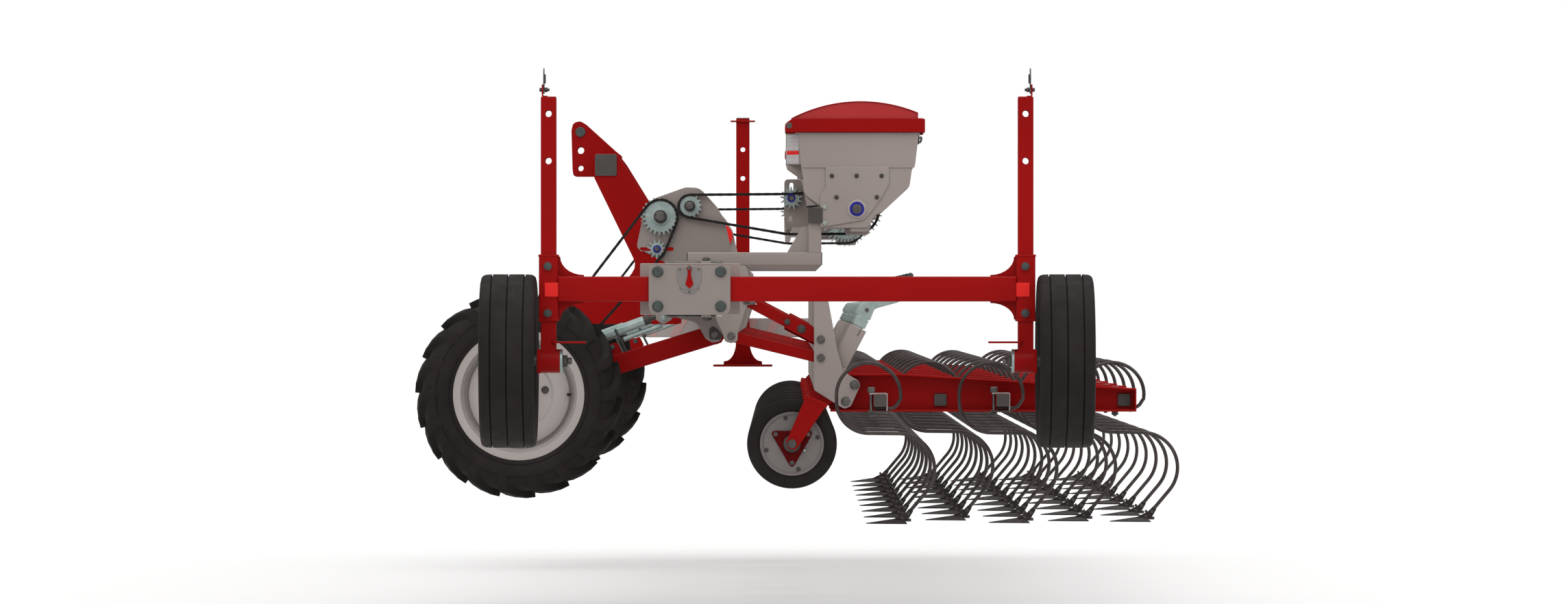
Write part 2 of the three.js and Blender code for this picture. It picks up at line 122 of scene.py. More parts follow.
def make_light():
    """A dim warm room lights the machine, the camera sees plain white, and two broad suns shade it."""
    scene = bpy.context.scene
    scene.view_settings.view_transform = "Standard"
    world = bpy.data.worlds.new("studio")
    scene.world = world
    world.use_nodes = True
    nodes, links = world.node_tree.nodes, world.node_tree.links
    nodes.clear()
    out = nodes.new("ShaderNodeOutputWorld")
    mix = nodes.new("ShaderNodeMixShader")
    path = nodes.new("ShaderNodeLightPath")
    links.new(path.outputs["Is Camera Ray"], mix.inputs[0])
    for slot, (colour, strength) in enumerate((ROOM, BACKDROP), 1):
        background = nodes.new("ShaderNodeBackground")
        background.inputs[0].default_value = colour
        background.inputs[1].default_value = strength
        links.new(background.outputs[0], mix.inputs[slot])
    links.new(mix.outputs[0], out.inputs[0])
    for name, strength, tilt, turn, angle in SUNS:
        data = bpy.data.lights.new(name, "SUN")
        data.energy = strength
        data.angle = math.radians(angle)
        lamp = bpy.data.objects.new(name, data)
        lamp.rotation_euler = (math.radians(tilt), 0, math.radians(turn))
        scene.collection.objects.link(lamp)


def make_floor():
    mesh = bpy.data.meshes.new("floor")
    corners = [(a * FLOOR_REACH, b * FLOOR_REACH, FLOOR_LEVEL) for a,
               b in ((-1, -1), (1, -1), (1, 1), (-1, 1))]
    mesh.from_pydata(corners, [], [(0, 1, 2, 3)])
    floor = bpy.data.objects.new("floor", mesh)
    bpy.context.scene.collection.objects.link(floor)
    paint = bpy.data.materials.new("floor")
    paint.use_nodes = True
    shader = paint.node_tree.nodes["Principled BSDF"]
    noise = paint.node_tree.nodes.new("ShaderNodeTexNoise")
    noise.inputs["Scale"].default_value = 2
    tint = paint.node_tree.nodes.new("ShaderNodeMapRange")
    tint.inputs["To Min"].default_value, tint.inputs["To Max"].default_value = FLOOR_TONE
    paint.node_tree.links.new(noise.outputs[0], tint.inputs[0])
    paint.node_tree.links.new(tint.outputs[0], shader.inputs["Base Color"])
    shader.inputs["Roughness"].default_value = 0.9
    mesh.materials.append(paint)


# Materials

class Surface:
    """A principled material under construction, with the noise and edge masks that all of them use."""

    def __init__(self, name):
        self.material = bpy.data.materials.new(name)
        self.material.use_nodes = True
        self.tree = self.material.node_tree
        self.shader = self.tree.nodes["Principled BSDF"]
        self.place = self.node("ShaderNodeTexCoord").outputs["Object"]

    def node(self, kind, **inputs):
        made = self.tree.nodes.new(kind)
        for name, value in inputs.items():
            made.inputs[name.replace("_", " ")].default_value = value
        return made

    def link(self, source, target):
        self.tree.links.new(source, target)

    def noise(self, scale, detail=3.0, stretch=(1, 1, 1)):
        mapping = self.node("ShaderNodeMapping", Scale=stretch)
        self.link(self.place, mapping.inputs["Vector"])
        noise = self.node("ShaderNodeTexNoise", Scale=scale, Detail=detail)
        self.link(mapping.outputs[0], noise.inputs["Vector"])
        return noise.outputs[0]

    def span(self, source, low, high, from_low=0.3, from_high=0.7):
        fit = self.node("ShaderNodeMapRange")
        for i, value in enumerate((from_low, from_high, low, high), 1):
            fit.inputs[i].default_value = value
        self.link(source, fit.inputs[0])
        return fit.outputs[0]

    def math(self, kind, a, b):
        made = self.node("ShaderNodeMath")
        made.operation = kind
        for i, value in enumerate((a, b)):
            if isinstance(value, (int, float)):
                made.inputs[i].default_value = value
            else:
                self.link(value, made.inputs[i])
        return made.outputs[0]

    def mix(self, factor, a, b):
        made = self.node("ShaderNodeMix")
        made.data_type = "RGBA"
        self.link(factor, made.inputs[0])
        for i, colour in ((6, a), (7, b)):
            if isinstance(colour, tuple):
                made.inputs[i].default_value = (*colour, 1)
            else:
                self.link(colour, made.inputs[i])
        return made.outputs[2]

    def edges(self, radius_mm, gain):
        """1 on edges, 0 on flat faces: the mask for edge wear that hands and soil rub, which also paints
        highlight lines along the edges.
        """
        bevel = self.node("ShaderNodeBevel", Radius=radius_mm * MM)
        bevel.samples = 3
        normal = self.node("ShaderNodeNewGeometry").outputs["Normal"]
        dot = self.node("ShaderNodeVectorMath")
        dot.operation = "DOT_PRODUCT"
        self.link(bevel.outputs[0], dot.inputs[0])
        self.link(normal, dot.inputs[1])
        away = self.math("SUBTRACT", 1.0, dot.outputs["Value"])
        return self.span(away, 0.0, gain, 0.01, 0.25)

    def upward(self, low, high):
        """How far a face looks up: dust settles there."""
        split = self.node("ShaderNodeSeparateXYZ")
        self.link(self.node("ShaderNodeNewGeometry").outputs["Normal"], split.inputs[0])
        return self.span(split.outputs[2], low, high, 0.2, 1.0)

    def bump(self, source, strength, distance_mm):
        made = self.node("ShaderNodeBump", Strength=strength, Distance=distance_mm * MM)
        self.link(source, made.inputs["Height"])
        self.link(made.outputs[0], self.shader.inputs["Normal"])

    def finish(self, colour, roughness, metallic=0.0, specular=0.14):
        self.link(colour, self.shader.inputs["Base Color"])
        self.link(roughness, self.shader.inputs["Roughness"])
        self.shader.inputs["Metallic"].default_value = metallic
        self.shader.inputs["Specular IOR Level"].default_value = specular
        return self.material


def paint(name, dark, light, edge, rough=(0.34, 0.44), specular=0.16):
    """Sprayed paint: slow tone changes, orange peel, light dust on top, and paler edges that stand for
    thinner paint there and also paint highlight lines along them.
    """
    s = Surface(name)
    tone = s.mix(s.span(s.noise(2.2), 0, 1), dark, light)
    dusty = s.math("MULTIPLY", s.upward(0, 0.05), s.span(s.noise(14, 5), 0.3, 1))
    tone = s.mix(dusty, tone, (0.55, 0.5, 0.46))
    # Paler edges: partly rubbed-thin paint, partly painted highlight lines.
    edge_wear_and_highlight = s.math("MULTIPLY", s.edges(1.1, 0.42), s.span(s.noise(60, 4), 0.25, 1))
    colour = s.mix(edge_wear_and_highlight, tone, edge)
    s.bump(s.noise(420, 2), 0.12, 0.3)
    return s.finish(colour, s.span(s.noise(9, 4), *rough), 0.0, specular)


def metal(name, dark, light, rough=(0.28, 0.42), metallic=0.75, stretch=(1, 1, 1)):
    """Bare or plated metal with blotches, fine scratches and bright edges, which are partly wear and partly
    painted highlight.
    """
    s = Surface(name)
    blotches = s.mix(s.span(s.noise(35, 5), 0, 1), dark, light)
    # Bright edges: partly worn metal, partly painted highlight lines.
    bright = tuple(min(1.0, value * 1.7 + 0.03) for value in light)
    colour = s.mix(s.edges(0.9, 0.4), blotches, bright)
    s.bump(s.noise(700, 3, stretch), 0.16, 0.15)
    return s.finish(colour, s.span(s.noise(90, 4, stretch), *rough), metallic, 0.3)


def rubber(name, colour, dusty):
    """Moulded rubber: a matt grain, dust in patches and a paler band along raised edges, partly whitish
    efflorescence of the rubber and partly painted sheen.
    """
    s = Surface(name)
    tone = s.mix(s.span(s.noise(7, 6), 0, 0.55), colour, dusty)
    # Paler raised edges: partly rubber efflorescence, partly painted sheen.
    efflorescence_and_sheen = s.math("MULTIPLY", s.edges(1.6, 0.22), s.span(s.noise(30, 3), 0.1, 1))
    tone = s.mix(efflorescence_and_sheen, tone, tuple(value * 2.0 for value in dusty))
    s.bump(s.noise(260, 5), 0.35, 0.5)
    return s.finish(tone, s.span(s.noise(20, 3), 0.62, 0.82))


def plastic(name, dark, light, rough=(0.45, 0.6)):
    """Moulded plastic with a fine spark-eroded grain, and paler edges that are partly wear and partly painted
    highlight.
    """
    s = Surface(name)
    tone = s.mix(s.span(s.noise(12, 3), 0, 1), dark, light)
    # Paler edges: partly wear, partly painted highlight lines.
    colour = s.mix(s.edges(1.0, 0.35), tone, tuple(min(1.0, value * 1.8 + 0.02) for value in light))
    s.bump(s.noise(900, 2), 0.22, 0.2)
    return s.finish(colour, s.span(s.noise(40, 2), *rough))


RED = paint("red_paint", (0.23, 0.0026, 0.0024), (0.275, 0.0034, 0.003), (0.42, 0.03, 0.025), specular=0.06)
# A darker copy of the red paint for the gauge wheel's hub plates: painted shade.
HUB_RED_SHADED = paint("shaded_hub_red", (0.075, 0.0008, 0.0012), (0.095, 0.0011, 0.0014), (0.2, 0.015, 0.012),
                 specular=0.05)
# A lighter, glossier copy of the red paint for the lid's dome ends: painted sheen.
LID_SHEEN_RED = paint("sheen_lid_red", (0.34, 0.007, 0.008), (0.40, 0.011, 0.012), (0.5, 0.06, 0.06), (0.2, 0.3),
                0.4)
GREY = paint("grey_paint", (0.262, 0.224, 0.208), (0.30, 0.260, 0.243), (0.46, 0.43, 0.41), specular=0.12)
# A darker copy of the grey paint for the beam's clamp plate: painted shade.
PLATE_SHADE_GREY = paint("shaded_plate_grey", (0.205, 0.174, 0.161), (0.236, 0.203, 0.189), (0.46, 0.43, 0.41),
                   specular=0.12)
PALE = paint("pale_grey_paint", (0.33, 0.30, 0.285), (0.37, 0.34, 0.325), (0.56, 0.54, 0.52), specular=0.12)
BRIGHT_RED = paint("bright_red_paint", (0.62, 0.012, 0.010), (0.7, 0.018, 0.014), (0.8, 0.08, 0.06))
STRIPE = paint("faded_red_paint", (0.42, 0.27, 0.26), (0.47, 0.30, 0.29), (0.6, 0.5, 0.48), specular=0.12)
ZINC = metal("zinc_plate", (0.24, 0.31, 0.30), (0.35, 0.42, 0.40), metallic=0.45)
STEEL = metal("spring_steel", (0.030, 0.024, 0.023), (0.058, 0.048, 0.045), (0.32, 0.45), 0.4)
SHARE = metal("share_steel", (0.012, 0.009, 0.009), (0.026, 0.019, 0.018), (0.42, 0.6), 0.3)
CHAIN = metal("chain_steel", (0.006, 0.005, 0.005), (0.018, 0.016, 0.015), (0.35, 0.5), 0.5)
BOLT = metal("bolt_steel", (0.07, 0.066, 0.062), (0.14, 0.132, 0.125), (0.2, 0.3), 0.85)
GREEN_BOLT = metal("plated_bolt", (0.042, 0.051, 0.048), (0.07, 0.083, 0.079), (0.3, 0.42), 0.35)
# A darkened grey for the gauge wheel discs and the level scale: painted shade.
WHEEL_SHADE_GREY = paint("shaded_wheel_grey", (0.15, 0.136, 0.131), (0.2, 0.182, 0.176), (0.36, 0.34, 0.32),
                   specular=0.15)
DARK_BOLT = metal("black_bolt", (0.04, 0.037, 0.033), (0.065, 0.06, 0.055), (0.35, 0.5), 0.3)
TYRE = rubber("tyre_rubber", (0.0105, 0.0088, 0.0083), (0.020, 0.0165, 0.015))
CAP = plastic("cap_plastic", (0.058, 0.053, 0.050), (0.075, 0.069, 0.065))
BLUE = plastic("bearing_seal", (0.012, 0.012, 0.20), (0.02, 0.02, 0.30))
LABEL = plastic("label_film", (0.42, 0.41, 0.42), (0.52, 0.51, 0.52), (0.3, 0.4))


# Shapes

def ring(x, z, radius, steps=20, start=0.0, end=360.0):
    """Points round a centre; an open arc when it doesn't go the whole way."""
    whole = abs(end - start) >= 360
    count = steps if whole else steps + 1
    turn = [math.radians(start + (end - start) * i / steps) for i in range(count)]
    return [(x + radius * math.cos(a), z + radius * math.sin(a)) for a in turn]


def rounded(corners, radius=4.0, steps=3):
    """An outline with its corners rounded; a corner's third number is its own radius."""
    out = []
    for i, corner in enumerate(corners):
        at = Vector(corner[:2])
        before = Vector(corners[i - 1][:2]) - at
        after = Vector(corners[(i + 1) % len(corners)][:2]) - at
        own = corner[2] if len(corner) > 2 else radius
        half = before.angle(after) / 2
        reach = min(own / math.tan(half), 0.48 * before.length, 0.48 * after.length)
        if reach < 0.05:
            out.append(tuple(at))
            continue
        first, last = at + before.normalized() * reach, at + after.normalized() * reach
        for k in range(steps + 1):
            u = k / steps
            out.append(tuple(first * (1 - u) ** 2 + at * 2 * u * (1 - u) + last * u * u))
    return out


def rectangle(u0, u1, v0, v1, radius=4.0):
    return rounded([(u0, v0), (u1, v0), (u1, v1), (u0, v1)], radius)


def spot(centre, radius, degrees):
    """A point at a distance and in a direction from a centre."""
    a = math.radians(degrees)
    return centre[0] + radius * math.cos(a), centre[1] + radius * math.sin(a)


def beside(a, b, along, left=0.0):
    """A point some way from a towards b, and to the left of that line."""
    ahead = (Vector(b) - Vector(a)).normalized()
    return tuple(Vector(a) + ahead * along + Vector((-ahead.y, ahead.x)) * left)


def mirrored(side):
    """A wheel's closed profile, from the half of it on one side of the middle."""
    return [(r, -w) for r, w in side] + [(r, w) for r, w in side[::-1]]


def slotted(a, b, radius, steps=6):
    """A stadium outline round the line from a to b."""
    turn = math.degrees(math.atan2(b[1] - a[1], b[0] - a[0]))
    return ring(*b, radius, steps, turn - 90, turn + 90) + ring(*a, radius, steps, turn + 90, turn + 270)


def band(a, b, width, radius=2.0, extra=0.0):
    """A flat bar's outline from a to b, longer by `extra` at both ends."""
    along = (Vector(b) - Vector(a)).normalized()
    across = Vector((-along.y, along.x)) * width / 2
    first, last = Vector(a) - along * extra, Vector(b) + along * extra
    return rounded([tuple(p) for p in (first - across, last - across, last + across, first + across)], radius)


def toothed(x, z, pitch_radius, teeth, depth, pointed=True, phase=0.0):
    """A sprocket's or a gear's outline."""
    out = []
    shape = ((-0.5, -1), (-0.28, -0.9), (-0.1, 0.75), (0.1, 0.75), (0.28, -0.9)) if pointed else (
        (-0.5, -1), (-0.3, -0.9), (-0.16, 0.9), (0.16, 0.9), (0.3, -0.9))
    for i in range(teeth):
        for turn, height in shape:
            a = 2 * math.pi * (i + turn + phase) / teeth
            r = pitch_radius + depth / 2 * height
            out.append((x + r * math.cos(a), z + r * math.sin(a)))
    return out


def area(loop):
    return sum(a[0] * b[1] - b[0] * a[1] for a, b in zip(loop, loop[1:] + loop[:1])) / 2


def inset(loop, distance):
    """The loop moved to its left by a distance, for a chamfer."""
    if not distance:
        return loop
    out = []
    for i, at in enumerate(loop):
        before = Vector((at[0] - loop[i - 1][0], at[1] - loop[i - 1][1]))
        after = Vector((loop[(i + 1) % len(loop)][0] - at[0], loop[(i + 1) % len(loop)][1] - at[1]))
        if before.length < 1e-6 or after.length < 1e-6:
            out.append(at)
            continue
        before.normalize()
        after.normalize()
        left = Vector((-before.y - after.y, before.x + after.x))
        stretch = max(1 + before.dot(after), 0.35)
        out.append((at[0] + left.x * distance / stretch, at[1] + left.y * distance / stretch))
    return out


# How an outline's two numbers and the place along the axis become x, y, z, and how a box becomes an outline.
AXES = {"y": lambda u, v, w: (u, w, v), "x": lambda u, v, w: (w, u, v), "z": lambda u, v, w: (u, v, w)}
SPANS = {
    "y": lambda x0, x1, y0, y1, z0, z1: (x0, x1, z0, z1, y0, y1),
    "x": lambda x0, x1, y0, y1, z0, z1: (y0, y1, z0, z1, x0, x1),
    "z": lambda *box: box,
}


WASHER = 2.2


class Solid:
    """Closed shells, each with a material, that become one object."""

    def __init__(self):
        self.verts, self.faces, self.kinds, self.paints = [], [], [], []
        self.mesh = None

    def shell(self, verts, faces, material):
        if material not in self.paints:
            self.paints.append(material)
        start = len(self.verts)
        self.verts += verts
        self.faces += [[start + i for i in face] for face in faces]
        self.kinds += [self.paints.index(material)] * len(faces)
        return self

    def prism(self, outline, w0, w1, material, axis="y", holes=(), bevel=0.8):
        """An outline with holes, pushed along an axis from w0 to w1, with a chamfer round both faces."""
        w0, w1 = min(w0, w1), max(w0, w1)
        bevel = min(bevel, (w1 - w0) * 0.3)
        loops = [list(outline)] + [list(hole) for hole in holes]
        loops = [loop if (area(loop) > 0) == (i == 0) else loop[::-1] for i, loop in enumerate(loops)]
        edge = [inset(loop, bevel) for loop in loops]
        levels = [(w0, edge), (w0 + bevel, loops), (w1 - bevel, loops), (w1, edge)]
        put = AXES[axis]
        verts = [put(u, v, w) for w, group in levels for loop in group for u, v in loop]
        count = sum(len(loop) for loop in loops)
        flat = [[Vector((u, v, 0)) for u, v in loop] for loop in edge]
        caps = tessellate_polygon(flat)
        top = count * (len(levels) - 1)
        faces = [list(tri) for tri in caps] + [[top + i for i in reversed(tri)] for tri in caps]
        for level in range(len(levels) - 1):
            base = level * count
            for loop in loops:
                n = len(loop)
                for i in range(n):
                    j = (i + 1) % n
                    faces.append([base + i, base + j, base + count + j, base + count + i])
                base += n
        return self.shell(verts, faces, material)

    def plates(self, outline, starts, thickness, material, **look):
        """The same plate at several places along Y."""
        for start in starts:
            self.prism(outline, start, start + thickness, material, **look)
        return self

    def block(self, x0, x1, y0, y1, z0, z1, material, radius=2.5, axis="y", bevel=1.2):
        """A bar with rounded long edges, running along an axis."""
        *sides, w0, w1 = SPANS[axis](x0, x1, y0, y1, z0, z1)
        return self.prism(rectangle(*sides, radius), w0, w1, material, axis, bevel=bevel)

    def tube(self, x0, x1, y0, y1, z0, z1, wall, material, radius=5.0, axis="y"):
        """A square tube, open at both ends."""
        u0, u1, v0, v1, w0, w1 = SPANS[axis](x0, x1, y0, y1, z0, z1)
        hole = rectangle(u0 + wall, u1 - wall, v0 + wall, v1 - wall, max(radius - wall, 1))
        return self.prism(rectangle(u0, u1, v0, v1, radius), w0, w1, material, axis, holes=[hole], bevel=0.7)

    def caps(self, x, z, y0, y1, face, plug, bevel=1.2):
        """Plastic plugs in both ends of a tube along Y; each part is (half width, reach, corner radius)."""
        for y, way in ((y0, 1), (y1, -1)):
            for (half, reach, radius), start, chamfer in ((face, 0, bevel), (plug, 3, 1.2)):
                self.block(x - half, x + half, y + way * start, y + way * reach, z - half, z + half, CAP,
                           radius, bevel=chamfer)
        return self

    def loft(self, rows, material):
        """A closed shell through rows of equally many points."""
        n, last = len(rows[0]), (len(rows) - 1) * len(rows[0])
        faces = [[i * n + k, i * n + (k + 1) % n, (i + 1) * n + (k + 1) % n, (i + 1) * n + k]
                 for i in range(len(rows) - 1) for k in range(n)]
        faces += [list(range(n))[::-1], [last + k for k in range(n)]]
        return self.shell([point for row in rows for point in row], faces, material)

    def rod(self, points, radius, material, sides=12):
        """A round bar along points in space."""
        points = [Vector(p) for p in points]
        rows = []
        side = None
        for i, at in enumerate(points):
            ahead = (points[min(i + 1, len(points) - 1)] - points[max(i - 1, 0)]).normalized()
            if side is None:
                side = ahead.orthogonal()
            side = (side - ahead * side.dot(ahead)).normalized()
            up = ahead.cross(side)
            turns = [2 * math.pi * k / sides for k in range(sides)]
            rows.append([tuple(at + (side * math.cos(a) + up * math.sin(a)) * radius) for a in turns])
        return self.loft(rows, material)

    def lathe(self, profile, u, v, material, axis="y", steps=28):
        """A closed profile of (radius, place along the axis) turned round an axis through (u, v)."""
        put = AXES[axis]
        verts, faces, starts = [], [], []
        for radius, w in profile:
            starts.append(len(verts))
            count = steps if radius > 1e-6 else 1
            for k in range(count):
                a = 2 * math.pi * k / steps
                verts.append(put(u + radius * math.cos(a), v + radius * math.sin(a), w))
        for i in range(len(profile)):
            j = (i + 1) % len(profile)
            lone_i, lone_j = profile[i][0] <= 1e-6, profile[j][0] <= 1e-6
            if lone_i and lone_j:
                continue
            for k in range(steps):
                m = (k + 1) % steps
                a, b = starts[i] + (0 if lone_i else k), starts[i] + (0 if lone_i else m)
                c, d = starts[j] + (0 if lone_j else m), starts[j] + (0 if lone_j else k)
                corners = ((a, True), (b, not lone_i), (c, True), (d, not lone_j))
                faces.append([n for n, keep in corners if keep])
        return self.shell(verts, faces, material)

    def disc(self, u, v, radius, w0, w1, material, axis="y", hole=0.0, steps=28, edge=1.0):
        """A turned disc or boss with chamfered rims, with a bore if it has one."""
        w0, w1 = min(w0, w1), max(w0, w1)
        edge = min(edge, (w1 - w0) * 0.3)
        rim = [(radius - edge, w0), (radius, w0 + edge), (radius, w1 - edge), (radius - edge, w1)]
        middle = [(hole, w1), (hole, w0)] if hole else [(0, w1), (0, w0)]
        return self.lathe(rim + middle, u, v, material, axis, steps)

    def bolt(self, u, v, face, way, radius, material, axis="y", washer=True):
        """A hexagon bolt head on a washer, standing out from a face in the direction `way`."""
        at, head = face, radius
        if washer:
            at, head = face + way * WASHER, radius * 0.82
            self.disc(u, v, radius, face, at, material, axis, steps=20, edge=0.5)
        height = head * 0.62
        self.prism(ring(u, v, head, 6, 15), at - way * 0.3, at + way * height, material, axis,
                   bevel=head * 0.12)
        self.disc(u, v, head * 0.42, at, at + way * (height + 2.4), material, axis, steps=12, edge=0.9)
        return self

    def bolt_pair(self, at, reach, radius, material, middle=0.0, washer=True):
        """Bolt heads on both sides of a joint, `reach` from its middle plane."""
        for way in (-1, 1):
            self.bolt(*at, middle + way * reach, way, radius, material, washer=washer)
        return self

    def make_mesh(self, name, smooth_deg=32):
        if self.mesh:
            return self.mesh
        mesh = bpy.data.meshes.new(name)
        mesh.from_pydata([tuple(c * MM for c in vert) for vert in self.verts], [], self.faces)
        for material in self.paints:
            mesh.materials.append(material)
        mesh.polygons.foreach_set("material_index", self.kinds)
        bm = bmesh.new()
        bm.from_mesh(mesh)
        bmesh.ops.dissolve_degenerate(bm, dist=1e-7, edges=bm.edges)
        bmesh.ops.recalc_face_normals(bm, faces=bm.faces)
        bm.to_mesh(mesh)
        bm.free()
        mesh.shade_smooth()
        mesh.set_sharp_from_angle(angle=math.radians(smooth_deg))
        self.mesh = mesh
        return mesh


def place(solid, name, body, nodes=(), y=0.0, ride=True):
    """Puts a solid into the scene on a body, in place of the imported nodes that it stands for."""
    obj = bpy.data.objects.new(name, solid.make_mesh(name))
    obj.location.y = y * MM
    bpy.context.scene.collection.objects.link(obj)
    bpy.context.view_layer.update()
    if ride:
        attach(obj, body)
    if nodes:
        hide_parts(*([nodes] if isinstance(nodes, str) else nodes))
    return obj


# One gang with its arms and gauge wheel, drawn about its own middle plane and used nine times

UNITS = range(1, 10)
ARM_FRONT = xz(pivot("unit_1_float"))
ARM_REAR = xz(pivot("unit_1_level"))
LINK_REAR = xz(pivot("unit_1_link_turn"))
GAUGE_HUB = xz(pivot("unit_1_wheel_spin"))
LINK_FRONT = (ARM_FRONT[0] + 50, ARM_FRONT[1] + 117)
LEG_OUTER, LEG_PLATE = 50, 8
TUBE_Z, TUBE_SIDE = ARM_REAR[1] - 137, 40
TUBE_X = [ARM_REAR[0] + 191 + 200 * i for i in range(5)]
TINE_OFFSETS = [-210, 210, -105, 105, 35]
TINE_RADIUS = 6
COIL, BOW = 104, 115


def leg_plates():
    s = Solid()
    x, z = ARM_REAR
    inner = LEG_OUTER - LEG_PLATE
    side = off(
        ARM_REAR, (-22, 208, 3), (-22, -105, 10), (58, -155, 12), (78, -166, 14), (98, -157, 12),
        (130, -88, 16), (121, -73, 10), (73, -44, 6), (55, 22, 8), (25, 184, 4), (22, 208, 3),
    )
    holes = [ring(*LINK_REAR, 9, 14), ring(*ARM_REAR, 9, 14)]
    s.plates(rounded(side), (-LEG_OUTER, inner), LEG_PLATE, GREY, holes=holes, bevel=1.2)
    s.block(x - 16, x + 84, -inner, inner, z - 85, z - 37, GREY, 4, bevel=0.8)
    s.block(x - 14, x + 18, -inner, inner, z + 196, z + 206, GREY, 2, bevel=0.8)
    for y in (2 - inner, inner - 2):
        s.rod([(x - 14, y, z - 36), (x + 82, y, z - 36)], 3, GREY, 6)
    return s


def leg_bolts():
    """The pivots' screws through both plates, and two that hold the beam."""
    s = Solid()
    for at, radius in ((LINK_REAR, 14), (ARM_REAR, 14),
                       *((at, 16) for at in off(ARM_REAR, (110, -88), (81, -142)))):
        s.bolt_pair(at, LEG_OUTER, radius, BOLT)
    return s


def gang_beam():
    """A channel whose web tapers down behind the legs, with the flanges on the near side."""
    s = Solid()
    x0, x1, z0 = ARM_REAR[0] + 31, ARM_REAR[0] + 1030, TUBE_Z - 38
    bend, low, high = x0 + 229, z0 + 76, z0 + 124
    s.prism(rounded([(x0, z0), (x1, z0), (x1, low), (bend, high), (x0, high)], 2), -3, 5, RED, bevel=0.8)
    s.block(x0, x1, -46, -2, z0, z0 + 6, RED, 1.5, bevel=1)
    top = [(x0, high - 6), (bend - 1, high - 6), (x1, low - 6), (x1, low), (bend, high), (x0, high)]
    s.prism(rounded(top, 1.5), -46, -2, RED, bevel=1)
    s.block(x1 - 5, x1, -44, -2, z0 + 4, z0 + 73, RED, 1, bevel=0.8)
    square = TUBE_SIDE / 2 + 2
    for x in TUBE_X:
        for y in (-4, 6):
            corners = ((-1, -1), (1, -1), (1, 1), (-1, 1), (-1, -1))
            s.rod([(x + a * square, y, TUBE_Z + b * square) for a, b in corners], 2.2, RED, 6)
    return s


def tube_ends(i):
    """Where cross tube i starts and stops across the machine."""
    offset = TINE_OFFSETS[i]
    reach = math.copysign(abs(offset) + 25, offset)
    return min(reach, -10), max(reach, 10)


def cross_tubes():
    s = Solid()
    half = TUBE_SIDE / 2
    for i, x in enumerate(TUBE_X):
        y0, y1 = tube_ends(i)
        s.tube(x - half, x + half, y0 + 2, y1 - 2, TUBE_Z - half, TUBE_Z + half, 3, RED, 4)
    return s


def tube_caps():
    """A ribbed plug pushed into each tube end, with a domed face."""
    s = Solid()
    half = TUBE_SIDE / 2
    for i, x in enumerate(TUBE_X):
        for y, way in zip(tube_ends(i), (-1, 1)):
            face = y - way * 2
            s.block(x - half, x + half, face, y, TUBE_Z - half, TUBE_Z + half, CAP, 4, bevel=1.2)
            core = half - 5
            s.block(x - core, x + core, face - way * 14, face + way * 0.5, TUBE_Z - core, TUBE_Z + core, CAP,
                    2)
            s.block(x - 8, x + 8, y - way * 0.5, y + way * 0.8, TUBE_Z - 8, TUBE_Z + 8, CAP, 5, bevel=0.4)
    return s


def tine_line(x):
    """A spring tine's centreline: under the tube, round the coil, back, and down in a bow to its share."""
    points = [(x - 16, TUBE_Z - 26), (x + 22, TUBE_Z - 26)]
    points += ring(x + 30, TUBE_Z + 5, 31, 5, -80, -22)
    points += ring(x - 37, TUBE_Z + 18, COIL, 26, -8, 180)
    points += ring(x - 37, TUBE_Z - 2, COIL, 14, 184, 270)
    points += [(x + 10, TUBE_Z - 106.5)]
    points += ring(x + 62, TUBE_Z - 107 - BOW, BOW, 20, 88, -40)
    end = points[-1]
    drop = 78
    points += [(end[0] - drop * 0.643 * t, end[1] - drop * 0.766 * t) for t in (0.5, 1.0)]
    return points


def tines():
    s = Solid()
    for x, y in zip(TUBE_X, TINE_OFFSETS):
        s.rod([(px, y, pz) for px, pz in tine_line(x)], TINE_RADIUS, STEEL, 10)
    return s


def tine_clamps():
    """A bent strap over the tube and tine, a square-head screw beside it and a plate with a nut below."""
    s = Solid()
    top, low = TUBE_Z + TUBE_SIDE / 2, TUBE_Z - TUBE_SIDE / 2
    for x, y in zip(TUBE_X, TINE_OFFSETS):
        right, screw = x + TUBE_SIDE / 2, x - 28
        strap = [
            (x - 34, top + 0.5), (x - 34, top + 5), (right + 5, top + 5, 6), (right + 5, low - 20, 1),
            (right + 0.6, low - 20, 1), (right + 0.6, top + 0.5, 2),
        ]
        s.prism(rounded(strap, 1.5), y - 15, y + 15, PALE, bevel=0.9)
        s.block(x - 40, right + 12, y - 16, y + 16, low - 19, low - 13, DARK_BOLT, 2, bevel=0.9)
        s.block(screw - 12, screw + 12, y - 12, y + 12, top + 5, top + 24, BOLT, 4, axis="z", bevel=2.5)
        s.disc(screw, y, 5.5, low - 34, top + 6, BOLT, "z", steps=14)
        s.prism(ring(screw, y, 11, 6), low - 30, low - 19, DARK_BOLT, "z", bevel=1.4)
        for k in range(5):
            thread = low - 34 + k * 2.2
            s.disc(screw, y, 6.1, thread, thread + 1, BOLT, "z", steps=12, edge=0.3)
    return s


